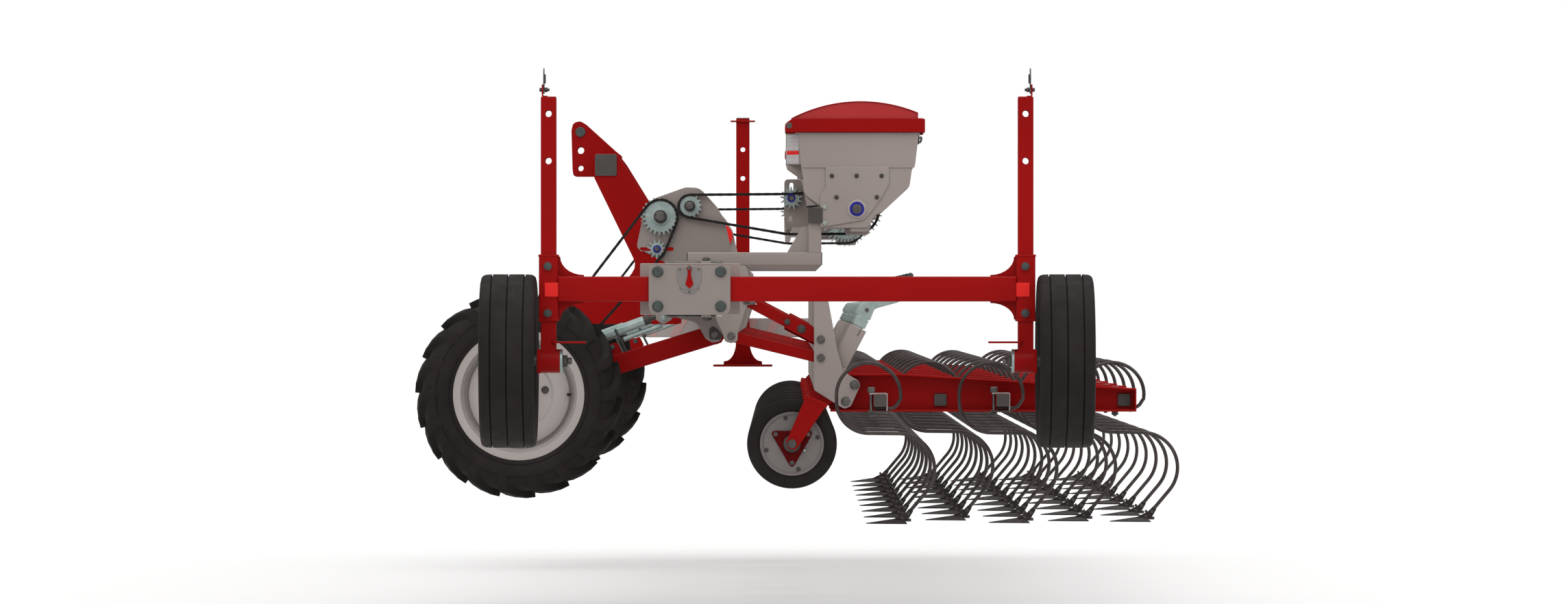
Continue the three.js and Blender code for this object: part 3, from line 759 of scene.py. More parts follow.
def shares():
    """Goosefoot shares: two swept wings, a ridge, a forged socket and the tine's two screws."""
    s = Solid()
    sweep = 0.36
    stations = [(-45, 1.2, 0.5, 3), (-10, 17, 0.5, 8.5), (25, 34, 0.6, 14), (62, 52, 0.8, 19),
                (68, 53, 0.8, 19)]
    for x, y in zip(TUBE_X, TINE_OFFSETS):
        rows = []
        for dx, half, low, ridge in stations:
            section = ((-half, low + 3), (0, ridge), (half, low + 3), (half, low), (0, max(ridge - 8, low)),
                       (-half, low))
            rows.append([(x + dx + abs(across) * sweep, y + across, z) for across, z in section])
        s.loft(rows, SHARE)
        foot = [(x + 36, 12), (x + 60, 8, 2), (x + 86, 8, 4), (x + 93, 16, 3), (x + 108, 42, 3),
                (x + 97, 51, 3), (x + 80, 34, 5), (x + 60, 24, 4)]
        s.prism(rounded(foot, 2.5), y - 8, y + 8, SHARE, bevel=2)
        for dx, z in ((72, 18), (92, 34)):
            s.bolt_pair((x + dx, z), 8, 6.5, DARK_BOLT, y, washer=False)
        s.rod([(x + 86, y, 12), (x + 101, y, 12.5)], 5, DARK_BOLT, 6)
        s.rod([(x + 78, y, 30), (x + 71, y, 38)], 4.5, DARK_BOLT, 6)
    return s


def depth_jack():
    """A slotted square tube with a plated telescope, collar and lever that set the gang's height."""
    s = Solid()
    foot, head = off(ARM_REAR, (47, -48), (125, 99))
    length = math.dist(foot, head)

    def bar(start, end, side, width, radius, y0, y1, material, bevel):
        """A flat bar along the jack; lengths count from its head."""
        ends = (beside(foot, head, length + t, side) for t in (start, end))
        s.prism(band(*ends, width, radius), y0, y1, material, bevel=bevel)

    s.prism(band(foot, head, 54, 3), -24, 24, GREY, bevel=2.5)
    for k in range(5):
        y = -16 + 8 * k
        bar(-118, -8, 27.5, 2.2, 0.6, y - 1.2, y + 1.2, PALE, 0.3)
    bar(-26, -2, -8, 3.0, 1, -25, -23.5, DARK_BOLT, 0.3)
    bar(-4, 42, 4, 34, 2, -17, 17, ZINC, 1.6)
    bar(4, 34, 4, 44, 2, -21, 21, ZINC, 1.6)
    for k in range(6):
        y = -13.5 + 5.4 * k
        bar(2, 33, 26, 1.8, 0.5, y - 0.9, y + 0.9, BOLT, 0.2)
    lever = off(
        head, (6, 28, 4), (36, 24, 4), (50, 60, 12), (66, 66, 8), (133, 84, 30), (172, 140, 12),
        (176, 166, 4), (162, 168, 4), (154, 146, 12), (122, 98, 24), (60, 86, 20), (6, 80, 16), (-12, 50, 10),
    )
    s.prism(rounded(lever), -12, 12, ZINC, bevel=1.2)
    knob, screw = off(head, (168, 170), (26, 58))
    s.disc(*knob, 10, -16, 16, DARK_BOLT, steps=20, edge=3)
    s.bolt_pair(screw, 12, 7, BOLT, washer=False)
    return s


def wheel_arm():
    """The gauge wheel's arm widens up to a fold, and a web behind it joins the legs."""
    s = Solid()
    hub = GAUGE_HUB
    arm = off(hub, (-18.5, 8, 8), (-14, -16, 12), (12, -19, 12), (24, -4, 8), (110, 121, 2), (43, 150, 2))
    s.prism(rounded(arm, 4, 4), -68, -58, RED, bevel=1.4)
    fold = off(hub, (40, 148), (46, 160, 3), (118, 129, 3), (112, 117))
    s.prism(rounded(fold, 1.5), -70, 50, RED, bevel=1.2)
    web = off(hub, (56, 152), (112, 126), (142, 138), (86, 186))
    s.prism(rounded(web, 3), -38, 38, RED, bevel=1.2)
    rib = band(*off(hub, (52, 150), (114, 123)), 15, 2)
    s.plates(rib, (-66, -32, 2, 36), 4, RED, bevel=0.5)
    s.disc(*hub, 11, -72, 56, BOLT, steps=20)
    s.disc(*hub, 15, -72, -68, DARK_BOLT, steps=20, edge=1.4)
    s.disc(*hub, 17, 51, 58, BOLT, steps=20, edge=1.5)
    return s


def lower_arm():
    s = Solid()
    s.prism(band(ARM_FRONT, ARM_REAR, 36, 5, extra=16), -28, 28, RED, bevel=2.5)
    for at, reach in ((ARM_FRONT, 32), (ARM_REAR, 41)):
        s.disc(*at, 22, -reach, reach, RED, steps=24, edge=1.5)
        s.disc(*at, 9, -reach - 14, reach + 14, BOLT, steps=16)
    s.bolt_pair(ARM_FRONT, 42, 13, BOLT)
    return s


def upper_link():
    """A strap with an adjusting slot, bolted into a flanged bracket on the gang's side."""
    s = Solid()
    pin = math.dist(LINK_REAR, LINK_FRONT)

    def points(*offsets):
        return [beside(LINK_REAR, LINK_FRONT, t, side) for t, side in offsets]

    slot = slotted(*points((pin - 26, 0), (pin + 9, 0)), 9)
    gap = slotted(*points((136, 0), (160, 0)), 2)
    s.prism(band(*points((34, 0), (pin + 24, 0)), 36, 12), -9, 9, RED, holes=[slot, gap], bevel=1.3)
    cheek = points((-22, 24), (-22, -24), (66, -26), (122, -26), (122, 26), (66, 26))
    s.plates(rounded(cheek, 5), (-18, 12), 6, RED, bevel=1.2)
    s.prism(rounded(points((-18, 26), (122, 26), (122, 20), (-18, 20)), 1.5), -18, 18, RED)
    s.disc(*LINK_REAR, 17, -40, 40, RED, steps=24)
    s.disc(*LINK_REAR, 9, -54, 54, BOLT, steps=16)
    for at, radius in zip(off(LINK_REAR, (-109, 58), (-63, 35)), (10, 14.5)):
        s.bolt_pair(at, 18, radius, DARK_BOLT)
    return s


def gauge_tyre():
    s = Solid()
    side = [(103, 30), (107, 38), (114, 44), (128, 48.5), (139, 47), (144.5, 42), (146.6, 30), (147, 14)]
    s.lathe(mirrored(side), *GAUGE_HUB, TYRE, steps=64)
    for radius in (122, 134):
        for way in (-1, 1):
            bead = [(radius, way * 46), (radius + 1.4, way * 47.5), (radius + 2.8, way * 46)]
            s.lathe(bead, *GAUGE_HUB, TYRE, steps=64)
    return s


def gauge_disc():
    """Two pressed wheel halves with their screws, a triangular hub plate and the bearing housing."""
    s = Solid()
    dish = [(14, 18), (92, 24), (98, 33), (104, 36), (105.5, 33), (101, 24), (93, 14), (14, 10)]
    housing = [(13, 24), (27, 24), (29, 28), (29, 38), (26, 42), (15, 44), (13, 43)]
    seal = [(12, 40), (14.5, 46), (12, 48)]
    corners = [(*spot(GAUGE_HUB, 84, angle), 12) for angle in (30, 150, 270)]
    for way in (-1, 1):
        # The wheel halves use the darkened grey: painted shade.
        s.lathe([(r, way * w) for r, w in dish], *GAUGE_HUB, WHEEL_SHADE_GREY, steps=64)
        for k in range(4):
            s.bolt(*spot(GAUGE_HUB, 86, 14 + 90 * k), way * 24, way, 7, DARK_BOLT)
        # The hub plates use the darker copy of the red paint: painted shade.
        s.prism(rounded(corners, 10, 5), way * 22, way * 27, HUB_RED_SHADED, holes=[ring(*GAUGE_HUB, 16, 20)],
                bevel=0.9)
        for angle in (30, 150, 270):
            s.bolt(*spot(GAUGE_HUB, 62, angle), way * 27, way, 7.5, BOLT)
        s.lathe([(r, way * w) for r, w in housing], *GAUGE_HUB, DARK_BOLT, steps=32)
        s.lathe([(r, way * w) for r, w in seal], *GAUGE_HUB, BOLT, steps=24)
    (x0, z), (x1, _) = off(GAUGE_HUB, (40, -22), (41, -22))
    s.rod([(x0, -20, z), (x1, -38, z)], 3.5, ZINC, 10)
    return s


UNIT_PIECES = [
    ("leg_plates", leg_plates, "gang", "grey_paint"), ("leg_bolts", leg_bolts, "gang", "zinc_plate"),
    ("gang_beam", gang_beam, "gang", "red_paint"), ("cross_tubes", cross_tubes, "gang", "red_paint"),
    ("tube_caps", tube_caps, "gang", "cap_plastic"), ("tines", tines, "gang", "spring_steel"),
    ("tine_clamps", tine_clamps, "gang", "zinc_plate"), ("shares", shares, "gang", "share_steel"),
    ("depth_jack", depth_jack, "gang", "grey_paint"), ("wheel_arm", wheel_arm, "gang", "red_paint"),
    ("arm_tube", lower_arm, "lower_arm", "red_paint"), ("link_strap", upper_link, "upper_link", "red_paint"),
    ("gauge_tyre", gauge_tyre, "gauge_wheel", "tyre_rubber"),
    ("gauge_disc", gauge_disc, "gauge_wheel", "grey_paint"),
]


def make_units():
    for kind, draw, body, slot in UNIT_PIECES:
        solid = draw()
        for unit in UNITS:
            y = pivot(f"unit_{unit}_float")[1]
            owner = f"unit_{unit}_{body}"
            place(solid, f"unit_{unit}_{kind}", owner, owner, y)


# The toolbar and what is welded or clamped to it

TOOL_LOW, TOOL_HIGH = extent("toolbar")
MIDDLE_Y = pivot("unit_5_float")[1]
BAR = (ARM_FRONT[0] - 128, ARM_FRONT[1] + 154)
HALF_BAR = 80
BAR_Y0, BAR_Y1 = TOOL_LOW[1] + 16, TOOL_HIGH[1]
DECK = BAR[1] + HALF_BAR
CLAMP_SCREWS = off(BAR, (-103, -56), (-103, 54.5), (98, -56), (98, 54.5))
PLATE_PAIR = (-41, 33)
DRIVE_SIDES = {"near": -1, "far": 1}


def toolbar_tube():
    s = Solid()
    x, z = BAR
    s.tube(x - HALF_BAR, x + HALF_BAR, BAR_Y0, BAR_Y1, z - HALF_BAR, z + HALF_BAR, 8, GREY, 14)
    opening = rectangle(x - 70, x + 70, z - 70, z + 70, 6)
    s.prism(rectangle(x - 161, x + 159, z - 83, z + 82, 4), BAR_Y0 - 16, BAR_Y0 - 1, GREY, bevel=1.5,
            holes=[opening])
    for at in CLAMP_SCREWS:
        s.bolt(*at, BAR_Y0 - 1, 1, 13, DARK_BOLT)
    s.rod([(x + way * HALF_BAR, BAR_Y0 + 2, z + HALF_BAR) for way in (-1, 1)], 3, GREY, 6)
    return s


def toolbar_end_cap():
    s = Solid()
    x, z = BAR
    core = HALF_BAR - 9
    s.block(x - core, x + core, BAR_Y1 - 40, BAR_Y1 - 2, z - core, z + core, CAP, 8)
    for k in range(-2, 3):
        s.block(x + k * 24 - 3, x + k * 24 + 3, BAR_Y1 - 3, BAR_Y1 - 0.5, z - 56, z + 56, CAP, 1.5)
    return s


def head_bracket():
    """The plates a gang hangs from: they hook over the toolbar and carry both pivots, drawn about y = 0."""
    s = Solid()
    x, z = ARM_FRONT
    side = off(
        ARM_FRONT, (-52, 230, 4), (46, 230, 8), (78, 122, 14), (48, 96, 10), (21, 12, 10), (21, -21, 20),
        (-21, -21, 20), (-28, 10, 8), (-52, 60, 6),
    )
    s.plates(rounded(side), PLATE_PAIR, 8, GREY, holes=[ring(*ARM_FRONT, 9, 14)], bevel=1.2)
    s.block(x - 47, x - 39, -33, 33, z + 70, z + 226, GREY, 1.5)
    s.block(x - 6, x + 2, -33, 33, z + 130, z + 222, GREY, 1.5)
    s.disc(*LINK_FRONT, 8, -52, 52, BOLT, steps=16)
    s.bolt_pair(LINK_FRONT, 41, 14, BOLT)
    return s


def bracket_ubolts():
    """Two U-bolts round the toolbar with their nuts, which clamp a head bracket."""
    s = Solid()
    x, z = BAR
    reach, bend = HALF_BAR + 7, 12
    left = x - reach + bend
    for y in (-58, 58):
        line = [(x + reach - 10, z - reach), (left, z - reach)]
        line += ring(left, z - reach + bend, bend, 4, 270, 180)
        line += ring(left, z + reach - bend, bend, 4, 180, 90)
        line += [(x + reach + 14, z + reach)]
        s.rod([(px, y, pz) for px, pz in line], 6, BOLT, 10)
    for face, way in ((z - HALF_BAR, -1), (z + HALF_BAR, 1)):
        s.block(x + 30, x + 62, -72, 72, face + way * 0.5, face + way * 12, GREY, 3)
        for y in (-58, 58):
            s.prism(ring(x + 46, y, 12, 6), face + way * 12, face + way * 22, BOLT, "z", bevel=1.5)
            s.disc(x + 46, y, 6, face + way * 12, face + way * 25, BOLT, "z", steps=12)
    return s


def arm_bracket(out):
    """Two plates under the toolbar that hold a drive arm's pivot, with the strut's eye in front."""
    s = Solid()
    plane = -out * ARM_PLANE
    plate = off(
        DRIVE_PIVOT, (-137, 78, 3), (-137, 60, 8), (-60, 40, 30), (-30, -14, 14), (-8, -27, 18),
        (20, -24, 18), (29, 4, 10), (28, 60, 4), (7, 78, 2),
    )
    # A thin black patch on each plate's outer face round the pivot: painted shade.
    shade = off(DRIVE_PIVOT, (-16, -16, 6), (18, -18, 6), (30, -2, 8), (-6, 30, 8), (-18, 16, 6))
    s.plates(rounded(plate), (plane - 41, plane + 33), 8, GREY, holes=[ring(*DRIVE_PIVOT, 13.2, 20)],
             bevel=1.2)
    for way in (-1, 1):
        s.prism(rounded(shade, 6), plane + way * 41.2, plane + way * 44.5, DARK_BOLT, bevel=0.9)
    eye = off(DRIVE_PIVOT, (-198, 76, 2), (-198, 50, 10), (-172, 34, 16), (-146, 50, 10), (-130, 76, 2))
    s.plates(rounded(eye), (plane - 24, plane + 16), 8, GREY, bevel=1)
    pin = off(DRIVE_PIVOT, (-172, 56))[0]
    s.disc(*pin, 7, plane - 34, plane + 34, ZINC, steps=16)
    s.bolt_pair(pin, 24, 11, ZINC, plane)
    return s


def stand_sleeve():
    s = Solid()
    x, y = middle_of("parking_stand")
    inner = 28
    outer, z0, z1 = inner + 8, BAR[1] - 72, BAR[1] + 73
    s.tube(x - outer, x + outer, y - outer, y + outer, z0, z1, 7.5, GREY, 6, axis="z")
    for z in (BAR[1] - 60, BAR[1] + 55):
        s.block(x - 54, x - outer + 1, y - 30, y + 30, z - 5, z + 5, GREY, 2)
    pin_z = BAR[1] + 22
    for end in (-62, 52):
        s.disc(x, pin_z, 9, y + math.copysign(inner + 1, end), y + end, ZINC, steps=16)
    spring = [(x, y - 58, pin_z), (x, y - 64, pin_z + 8), (x, y - 64, pin_z + 36),
              (x + 4, y - 52, pin_z + 46)]
    s.rod(spring, 3.5, ZINC, 8)
    for z in (z0, z1 - 2):
        rim = outer + 2
        s.tube(x - rim, x + rim, y - rim, y + rim, z, z + 3, 4, GREY, 6, axis="z")
    return s


def light_board():
    """The rear light board at the far end, with a lamp, a reflector and plain diagonal stripes."""
    s = Solid()
    x, face = BAR[0], TOOL_HIGH[1]
    x0, x1, z0, z1 = x - 322, x + 428, BAR[1] - 186, BAR[1] - 108
    s.prism(rectangle(x0, x1, z0, z1, 8), face - 6, face - 1.5, PALE, bevel=1)
    for k in range(7):
        u = x0 + 60 + k * 95
        stripe = rounded([(u, z0 + 4), (u + 38, z0 + 4), (u + 78, z1 - 4), (u + 40, z1 - 4)], 1)
        s.prism(stripe, face - 7.4, face - 5.5, STRIPE, bevel=0.3)
    s.disc(x0 + 34, (z0 + z1) / 2, 24, face - 9, face - 5, BRIGHT_RED, steps=32)
    s.prism(rectangle(x - 32, x + 32, z1 - 8, z1 + 42, 3), face - 8, face - 1, GREY, bevel=1)
    for screw in (x - 18, x + 18):
        s.bolt(screw, z1 - 22, face - 6, -1, 8, BOLT)
    return s


def make_toolbar():
    place(toolbar_tube(), "toolbar_tube", "root", "toolbar")
    place(toolbar_end_cap(), "toolbar_end_cap", "root")
    head, clamps = head_bracket(), bracket_ubolts()
    for unit in UNITS:
        y = pivot(f"unit_{unit}_float")[1]
        place(head, f"head_bracket_{unit}", "root", "toolbar", y)
        place(clamps, f"bracket_ubolts_{unit}", "root", (), y)
    for side, out in DRIVE_SIDES.items():
        y = pivot(f"drive_wheel_{side}_spin")[1]
        place(arm_bracket(out), f"arm_bracket_{side}", "root", "toolbar", y)
    place(stand_sleeve(), "stand_sleeve", "root", "toolbar")
    place(light_board(), "light_board", "root", "toolbar")


# The hitch

def hitch_arm():
    """A tall box arm with a lower plate for the tractor's link, drawn about y = 0."""
    s = Solid()
    x, _, z = mount_place("hitch")
    front, top = BAR[0] - HALF_BAR - 0.3, DECK + 0.3
    side = [
        (x - 28, 700, 24), (x - 28, 642, 20), (front, 640, 4), (front, top, 4), (front + 16, top, 4),
        (-519, 1080, 60), (-609, 1226, 8), (-627, 1250, 2), (-712, 1172, 12), (-555, 849, 50),
        (-636, 742, 30),
    ]
    s.plates(rounded(side), (-30, 22), 8, RED, holes=[ring(x, z, 14.5, 24)], bevel=1.4)
    core = [(front - 190, 646), (front - 2, 646), (front - 2, top - 3), (-402, top - 3), (-523, 1076),
            (-630, 1244), (-704, 1173), (-548, 850), (front - 190, 752)]
    s.prism(rounded(core, 6), -23, 23, RED, bevel=0.5)
    for way in (-1, 1):
        s.disc(x, z, 26, way * 30, way * 36, RED, hole=15, edge=1)
    s.disc(x, z, 14, -64, 50, BOLT, steps=24, edge=3)
    s.rod([(x, -60, z), (x - 4, -66, z + 26), (x + 8, -60, z + 40)], 3.2, ZINC, 8)
    for y in (-31, 31):
        s.rod([(front + 2, y, top + 1), (front - 2, y, top - 3), (front - 2, y, 646)], 2.6, RED, 6)
    return s


def mast_top():
    """The cross tube with capped ends and the top link's two lugs, each with three holes."""
    s = Solid()
    low, high = extent("hitch_mast")
    x, z = -667, 1212
    s.tube(x - 40, x + 40, low[1] + 3, high[1] - 3, z - 40, z + 40, 5, RED, 7)
    s.caps(x, z, low[1], high[1], (39, 4, 7), (34, 24, 4))
    lug = [(-802, 1345, 30), (-798, 1204, 4), (-795, 1177, 24), (-619, 1177, 4), (-619, 1252, 4),
           (-640, 1269, 4), (-746, 1365, 22), (-770, 1380, 26), (-796, 1372, 20)]
    holes = [ring(-768, 1272, 12.5, 20), ring(-768, 1207, 10.5, 20)]
    s.plates(rounded(lug, 4, 6), (MIDDLE_Y - 45, MIDDLE_Y + 33), 12, RED, holes=holes, bevel=1.6)
    s.disc(-769, 1339, 18, MIDDLE_Y - 51, MIDDLE_Y + 51, GREEN_BOLT, steps=32, edge=2)
    return s


def make_hitch():
    for side, way in (("near", -1), ("far", 1)):
        place(hitch_arm(), f"hitch_arm_{side}", "root", "hitch_mast", MIDDLE_Y + way * 430)
    place(mast_top(), "mast_top", "root", "hitch_mast")


# The transport gear at the near end

BEAM_LOW, BEAM_HIGH = extent("transport_beam")
BEAM_Y = pivot("transport_wheel_front_spin")[1]
BEAM_Z = BAR[1] - 0.5
HALF_BEAM = 40
ENDS = {"front": 1, "rear": -1}  # which way is inboard
# A quarter round in eight points, for gussets and fillets
QUARTER = [(math.sin(a), 1 - math.cos(a)) for a in (math.pi / 2 * k / 7 for k in range(8))]


def post_x(end):
    return BAR[0] + {"front": -452.5, "rear": 1072.5}[end]


def transport_beam():
    s = Solid()
    x0, x1 = post_x("front") + 30.5, post_x("rear") - 30.5
    y, (z0, z1) = BEAM_Y, (BEAM_Z - HALF_BEAM, BEAM_Z + HALF_BEAM)
    s.tube(x0, x1, y - HALF_BEAM, y + HALF_BEAM, z0, z1, 5, RED, 6, axis="x")
    for x, way in ((x0 + 0.5, 1), (x1 - 0.5, -1)):
        for sign, base, height in ((1, z1 - 1, 66), (-1, z0 + 1, 60)):
            curve = [(x, base), (x + way * 82, base)]
            curve += [(x + way * (82 - 76 * across), base + sign * (6 + (height - 8) * up)) for across,
                      up in QUARTER]
            curve += [(x, base + sign * height)]
            s.prism(curve, y - 5, y + 5, RED, bevel=1)
        weld, side = x + way * 3, y - HALF_BEAM
        s.rod([(weld, side, z0 + 4), (weld, side, z1 - 4)], 3, RED, 6)
        s.rod([(weld, side + 4, z1), (weld, y + HALF_BEAM - 4, z1)], 3, RED, 6)
    return s


def post_sleeve(end):
    """A square sleeve with rims, two locking screws and the beam's bright end square."""
    s = Solid()
    x, y, inboard = post_x(end), BEAM_Y, ENDS[end]
    half_x, half_y = 30.5, 36
    z0, z1 = BEAM_LOW[2], BEAM_HIGH[2]
    s.tube(x - half_x, x + half_x, y - half_y, y + half_y, z0, z1, 4.8, RED, 5, axis="z")
    for z in (z0 + 1, z1 - 7):
        s.tube(x - half_x - 2, x + half_x + 2, y - half_y - 2, y + half_y + 2, z, z + 6, 4, RED, 5, axis="z")
    face = y - half_y
    for z in (BEAM_Z + 72.5, BEAM_Z - 77.5):
        s.disc(x - 2, z, 17, face - 5, face + 1, RED, steps=28, edge=1.2)
        s.bolt(x - 2, z, face - 5, -1, 13, GREEN_BOLT)
    s.block(x - inboard * 12, x + inboard * 35, face - 4, face + 2, BEAM_Z - 25, BEAM_Z + 20, BRIGHT_RED, 2)
    return s


def holed_post(s, x, y, half_x, half_y, z0, z1, holes):
    """A square tube on end, with (height, radius) holes right through its front and back."""
    rings = [ring(x, z, radius, 20) for z, radius in holes]
    reach = half_y - 1.5
    for way in (-1, 1):
        s.prism(rectangle(x - half_x, x + half_x, z0, z1, 2), y + way * half_y, y + way * (half_y - 5), RED,
                holes=rings, bevel=1.4)
        s.block(x + way * half_x, x + way * (half_x - 5), y - reach, y + reach, z0, z1, RED, 1.6, axis="z")


def transport_post(end):
    s = Solid()
    y, inboard = BEAM_Y, ENDS[end]
    hub_x, _, hub_z = pivot(f"transport_wheel_{end}_spin")
    top = extent(f"transport_post_{end}")[1][2] - 91

    def inner(distance):
        """A place inboard of the post's middle."""
        return post_x(end) + inboard * distance

    def disc(z, radius, start, stop, material, steps, edge=1.0):
        s.disc(y, z, radius, inner(start), inner(stop), material, "x", steps=steps, edge=edge)

    def nut(z, radius, start, stop, bevel=1):
        s.prism(ring(y, z, radius, 6), inner(start), inner(stop), DARK_BOLT, "x", bevel=bevel)

    x = inner(0)
    holed_post(s, x, y, 24.5, 30, hub_z + 22, top - 3, [(top - 55, 10.5), (top - 206, 10.5)])
    s.block(x - 24, x + 24, y - 29.5, y + 29.5, top - 5, top, RED, 6, axis="z")
    tab = ((4, -1, 0), (4, 3, 0), (15, 3, 8), (18, 6, 6), (18, 39, 1), (22, 39, 1), (22, 2, 8), (17, -1, 3))
    s.prism(rounded([(inner(-dx), top + dz, r) for dx, dz, r in tab], 1), y - 16, y + 16, RED, bevel=1)
    lever = off((y, top), (-10, 9, 6), (10, 9, 6), (7, 60, 3), (4, 91, 3), (-4, 91, 3), (-7, 60, 3))
    s.prism(rounded(lever), inner(-13), inner(-17.6), BOLT, "x", bevel=0.8)
    s.prism(rectangle(y - 6, y + 6, top + 42, top + 72, 2), inner(-9), inner(-13), BOLT, "x")
    disc(top + 22, 4.5, -30, 3, DARK_BOLT, 14)
    nut(top + 22, 7.5, -22, -29)
    nut(top + 22, 8.5, -13, -3)
    face = hub_x + inboard * 91
    s.disc(y, hub_z, 38, face, inner(36), RED, "x", steps=48, edge=1.5)
    s.prism(rectangle(y - 39, y + 39, hub_z - 39, hub_z + 38, 4), face, face + inboard * 12, RED, "x",
            bevel=1.2)
    disc(hub_z, 38, 36, 45, ZINC, 36, 1.5)
    nut(hub_z, 22, 45, 60, 2)
    disc(hub_z, 11, 60, 74, BOLT, 20, 2)
    for k in range(4):
        disc(hub_z, 11.8, 62 + 3 * k, 63.6 + 3 * k, BOLT, 16, 0.4)
    s.disc(y, hub_z, 18, hub_x - inboard * 42, face, BOLT, "x", steps=24)
    slot = slotted((inner(70), y - 12), (inner(70), y + 12), 7)
    foot = rectangle(inner(10), inner(119), y - 49, y + 49, 14)
    s.prism(foot, hub_z + 57, hub_z + 63, RED, "z", holes=[slot])
    return s


def transport_tyre():
    """A ribbed road tyre round the X axis, drawn about its own middle."""
    s = Solid()
    side = [
        (206, 52), (212, 66), (226, 78), (244, 86), (258, 88.5), (268, 86), (274, 80), (276.5, 72),
        (277.6, 54.6), (270, 53.8), (270, 50.2), (277.8, 49.4), (277.6, 2.6), (270, 1.8),
    ]
    s.lathe(mirrored(side), 0, 0, TYRE, "x", 96)
    for way in (-1, 1):
        for radius, w in ((222, 78), (250, 86.6)):
            bead = [(radius, way * (w - 3)), (radius + 2, way * (w + 1.4)), (radius + 4, way * (w - 2))]
            s.lathe(bead, 0, 0, TYRE, "x", 96)
    return s


def transport_rim(inboard):
    s = Solid()
    rim = [(176, -66), (206, -70), (214, -66), (208, -56), (186, -50), (182, 0), (186, 50), (208, 56),
           (214, 66), (206, 70), (176, 66), (172, 50), (174, 0), (172, -50)]
    s.lathe(rim, 0, 0, PALE, "x", 64)
    dish = [(176, -6), (130, -14), (100, 8), (60, 12), (34, 12), (34, 6), (60, 6), (96, 1), (128, -22),
            (176, -14)]
    s.lathe([(r, inboard * w) for r, w in dish], 0, 0, PALE, "x", 48)
    s.lathe([(19, -44), (40, -44), (46, -30), (46, 40), (38, 60), (24, 62), (19, 56)], 0, 0, RED, "x", 36)
    for k in range(5):
        s.bolt(*spot((0, 0), 78, 72 * k), inboard * 12, inboard, 11, BOLT, "x")
    return s


def make_transport():
    place(transport_beam(), "transport_beam_tube", "root", "transport_beam")
    tyre = transport_tyre()
    for end, inboard in ENDS.items():
        body = f"transport_post_{end}"
        place(post_sleeve(end), f"post_sleeve_{end}", "root", "transport_beam")
        place(transport_post(end), f"post_{end}", body, body)
        wheel = f"transport_wheel_{end}"
        centre = Vector(pivot(f"{wheel}_spin")) * MM
        rim = transport_rim(inboard)
        for solid, kind, slot in ((tyre, "tyre", "tyre_rubber"), (rim, "rim", "grey_paint")):
            obj = place(solid, f"transport_{kind}_{end}", wheel, wheel, ride=False)
            obj.location = centre
            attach(obj, wheel)


def clamp_plate():
    """The plate that clamps the beam to the toolbar, with four screws and a level scale."""
    s = Solid()
    (x0, _, z0), (x1, _, z1) = extent("beam_clamp_plate")
    face = BEAM_Y - HALF_BEAM - 0.3
    # The plate uses the darker copy of the grey paint: painted shade.
    s.prism(rounded([(x0, z0, 26), (x1, z0, 26), (x1, z1, 6), (x0, z1, 6)], 6, 6), face - 12, face,
            PLATE_SHADE_GREY, bevel=1.8)
    for x, z in CLAMP_SCREWS:
        s.disc(x, z, 18, face - 14, face - 12, GREEN_BOLT, steps=36, edge=0.6)
        s.prism(ring(x, z, 16, 6, 15), face - 23, face - 14, GREEN_BOLT, bevel=1.6)
        s.disc(x, z, 7.4, face - 12, BAR_Y0 + 18, DARK_BOLT, steps=16)
    s.block(BAR[0] + 86, BAR[0] + 102, face - 10, face - 2, z0 - 6, z0 + 1, PALE, 1)
    return s


def level_scale():
    """An arched plate behind the pointer, with three screws and tick marks along its arc."""
    s = Solid()
    pin = xz(pivot("level_pointer_swing"))
    face = BEAM_Y - HALF_BEAM - 12.3
    shape = off(pin, (-38, 4, 4), (38, 4, 4), (38, -40, 8), (20, -80, 16), (-20, -80, 16), (-38, -40, 8))
    # The scale uses the darkened grey: painted shade.
    s.prism(rounded(shape, 6, 5), face - 3, face, WHEEL_SHADE_GREY, bevel=0.6)
    for at in off(pin, (-30, -4), (30, -4), (0, -76)):
        s.disc(*at, 3.4, face - 5, face - 3, BOLT, steps=14, edge=0.8)
    for degrees in range(-24, 25, 6):
        ends = [spot(pin, r, degrees - 90) for r in (68, 73 if degrees % 12 else 76)]
        s.prism(band(*ends, 1.2, 0.2), face - 3.5, face - 2.8, DARK_BOLT, bevel=0.1)
    s.disc(*pin, 3.4, face - 9, face - 2, BOLT, steps=16)
    s.disc(*pin, 6.4, face - 11, face - 8.2, BOLT, steps=24)
    return s


def pointer():
    s = Solid()
    pin = xz(pivot("level_pointer_swing"))
    face = BEAM_Y - HALF_BEAM - 15.5
    shape = off(
        pin, (-8.5, 2, 7), (0, 10, 7), (8.5, 2, 7), (4.5, -14, 10), (7, -32, 14), (13, -52, 2), (0.6, -65, 1),
        (-0.6, -65, 1), (-13, -52, 2), (-7, -32, 14), (-4.5, -14, 10),
    )
    s.prism(rounded(shape, 2), face - 3.4, face - 0.4, RED, holes=[ring(*pin, 3.6, 14)], bevel=0.6)
    return s


def make_clamp():
    place(clamp_plate(), "clamp_plate", "root", "beam_clamp_plate")
    place(level_scale(), "level_scale", "root", "beam_clamp_plate")
    place(pointer(), "plumb_pointer", "level_pointer", "level_pointer")


# The ground drive on each side. `out` is -1 on the near side and +1 on the far side.

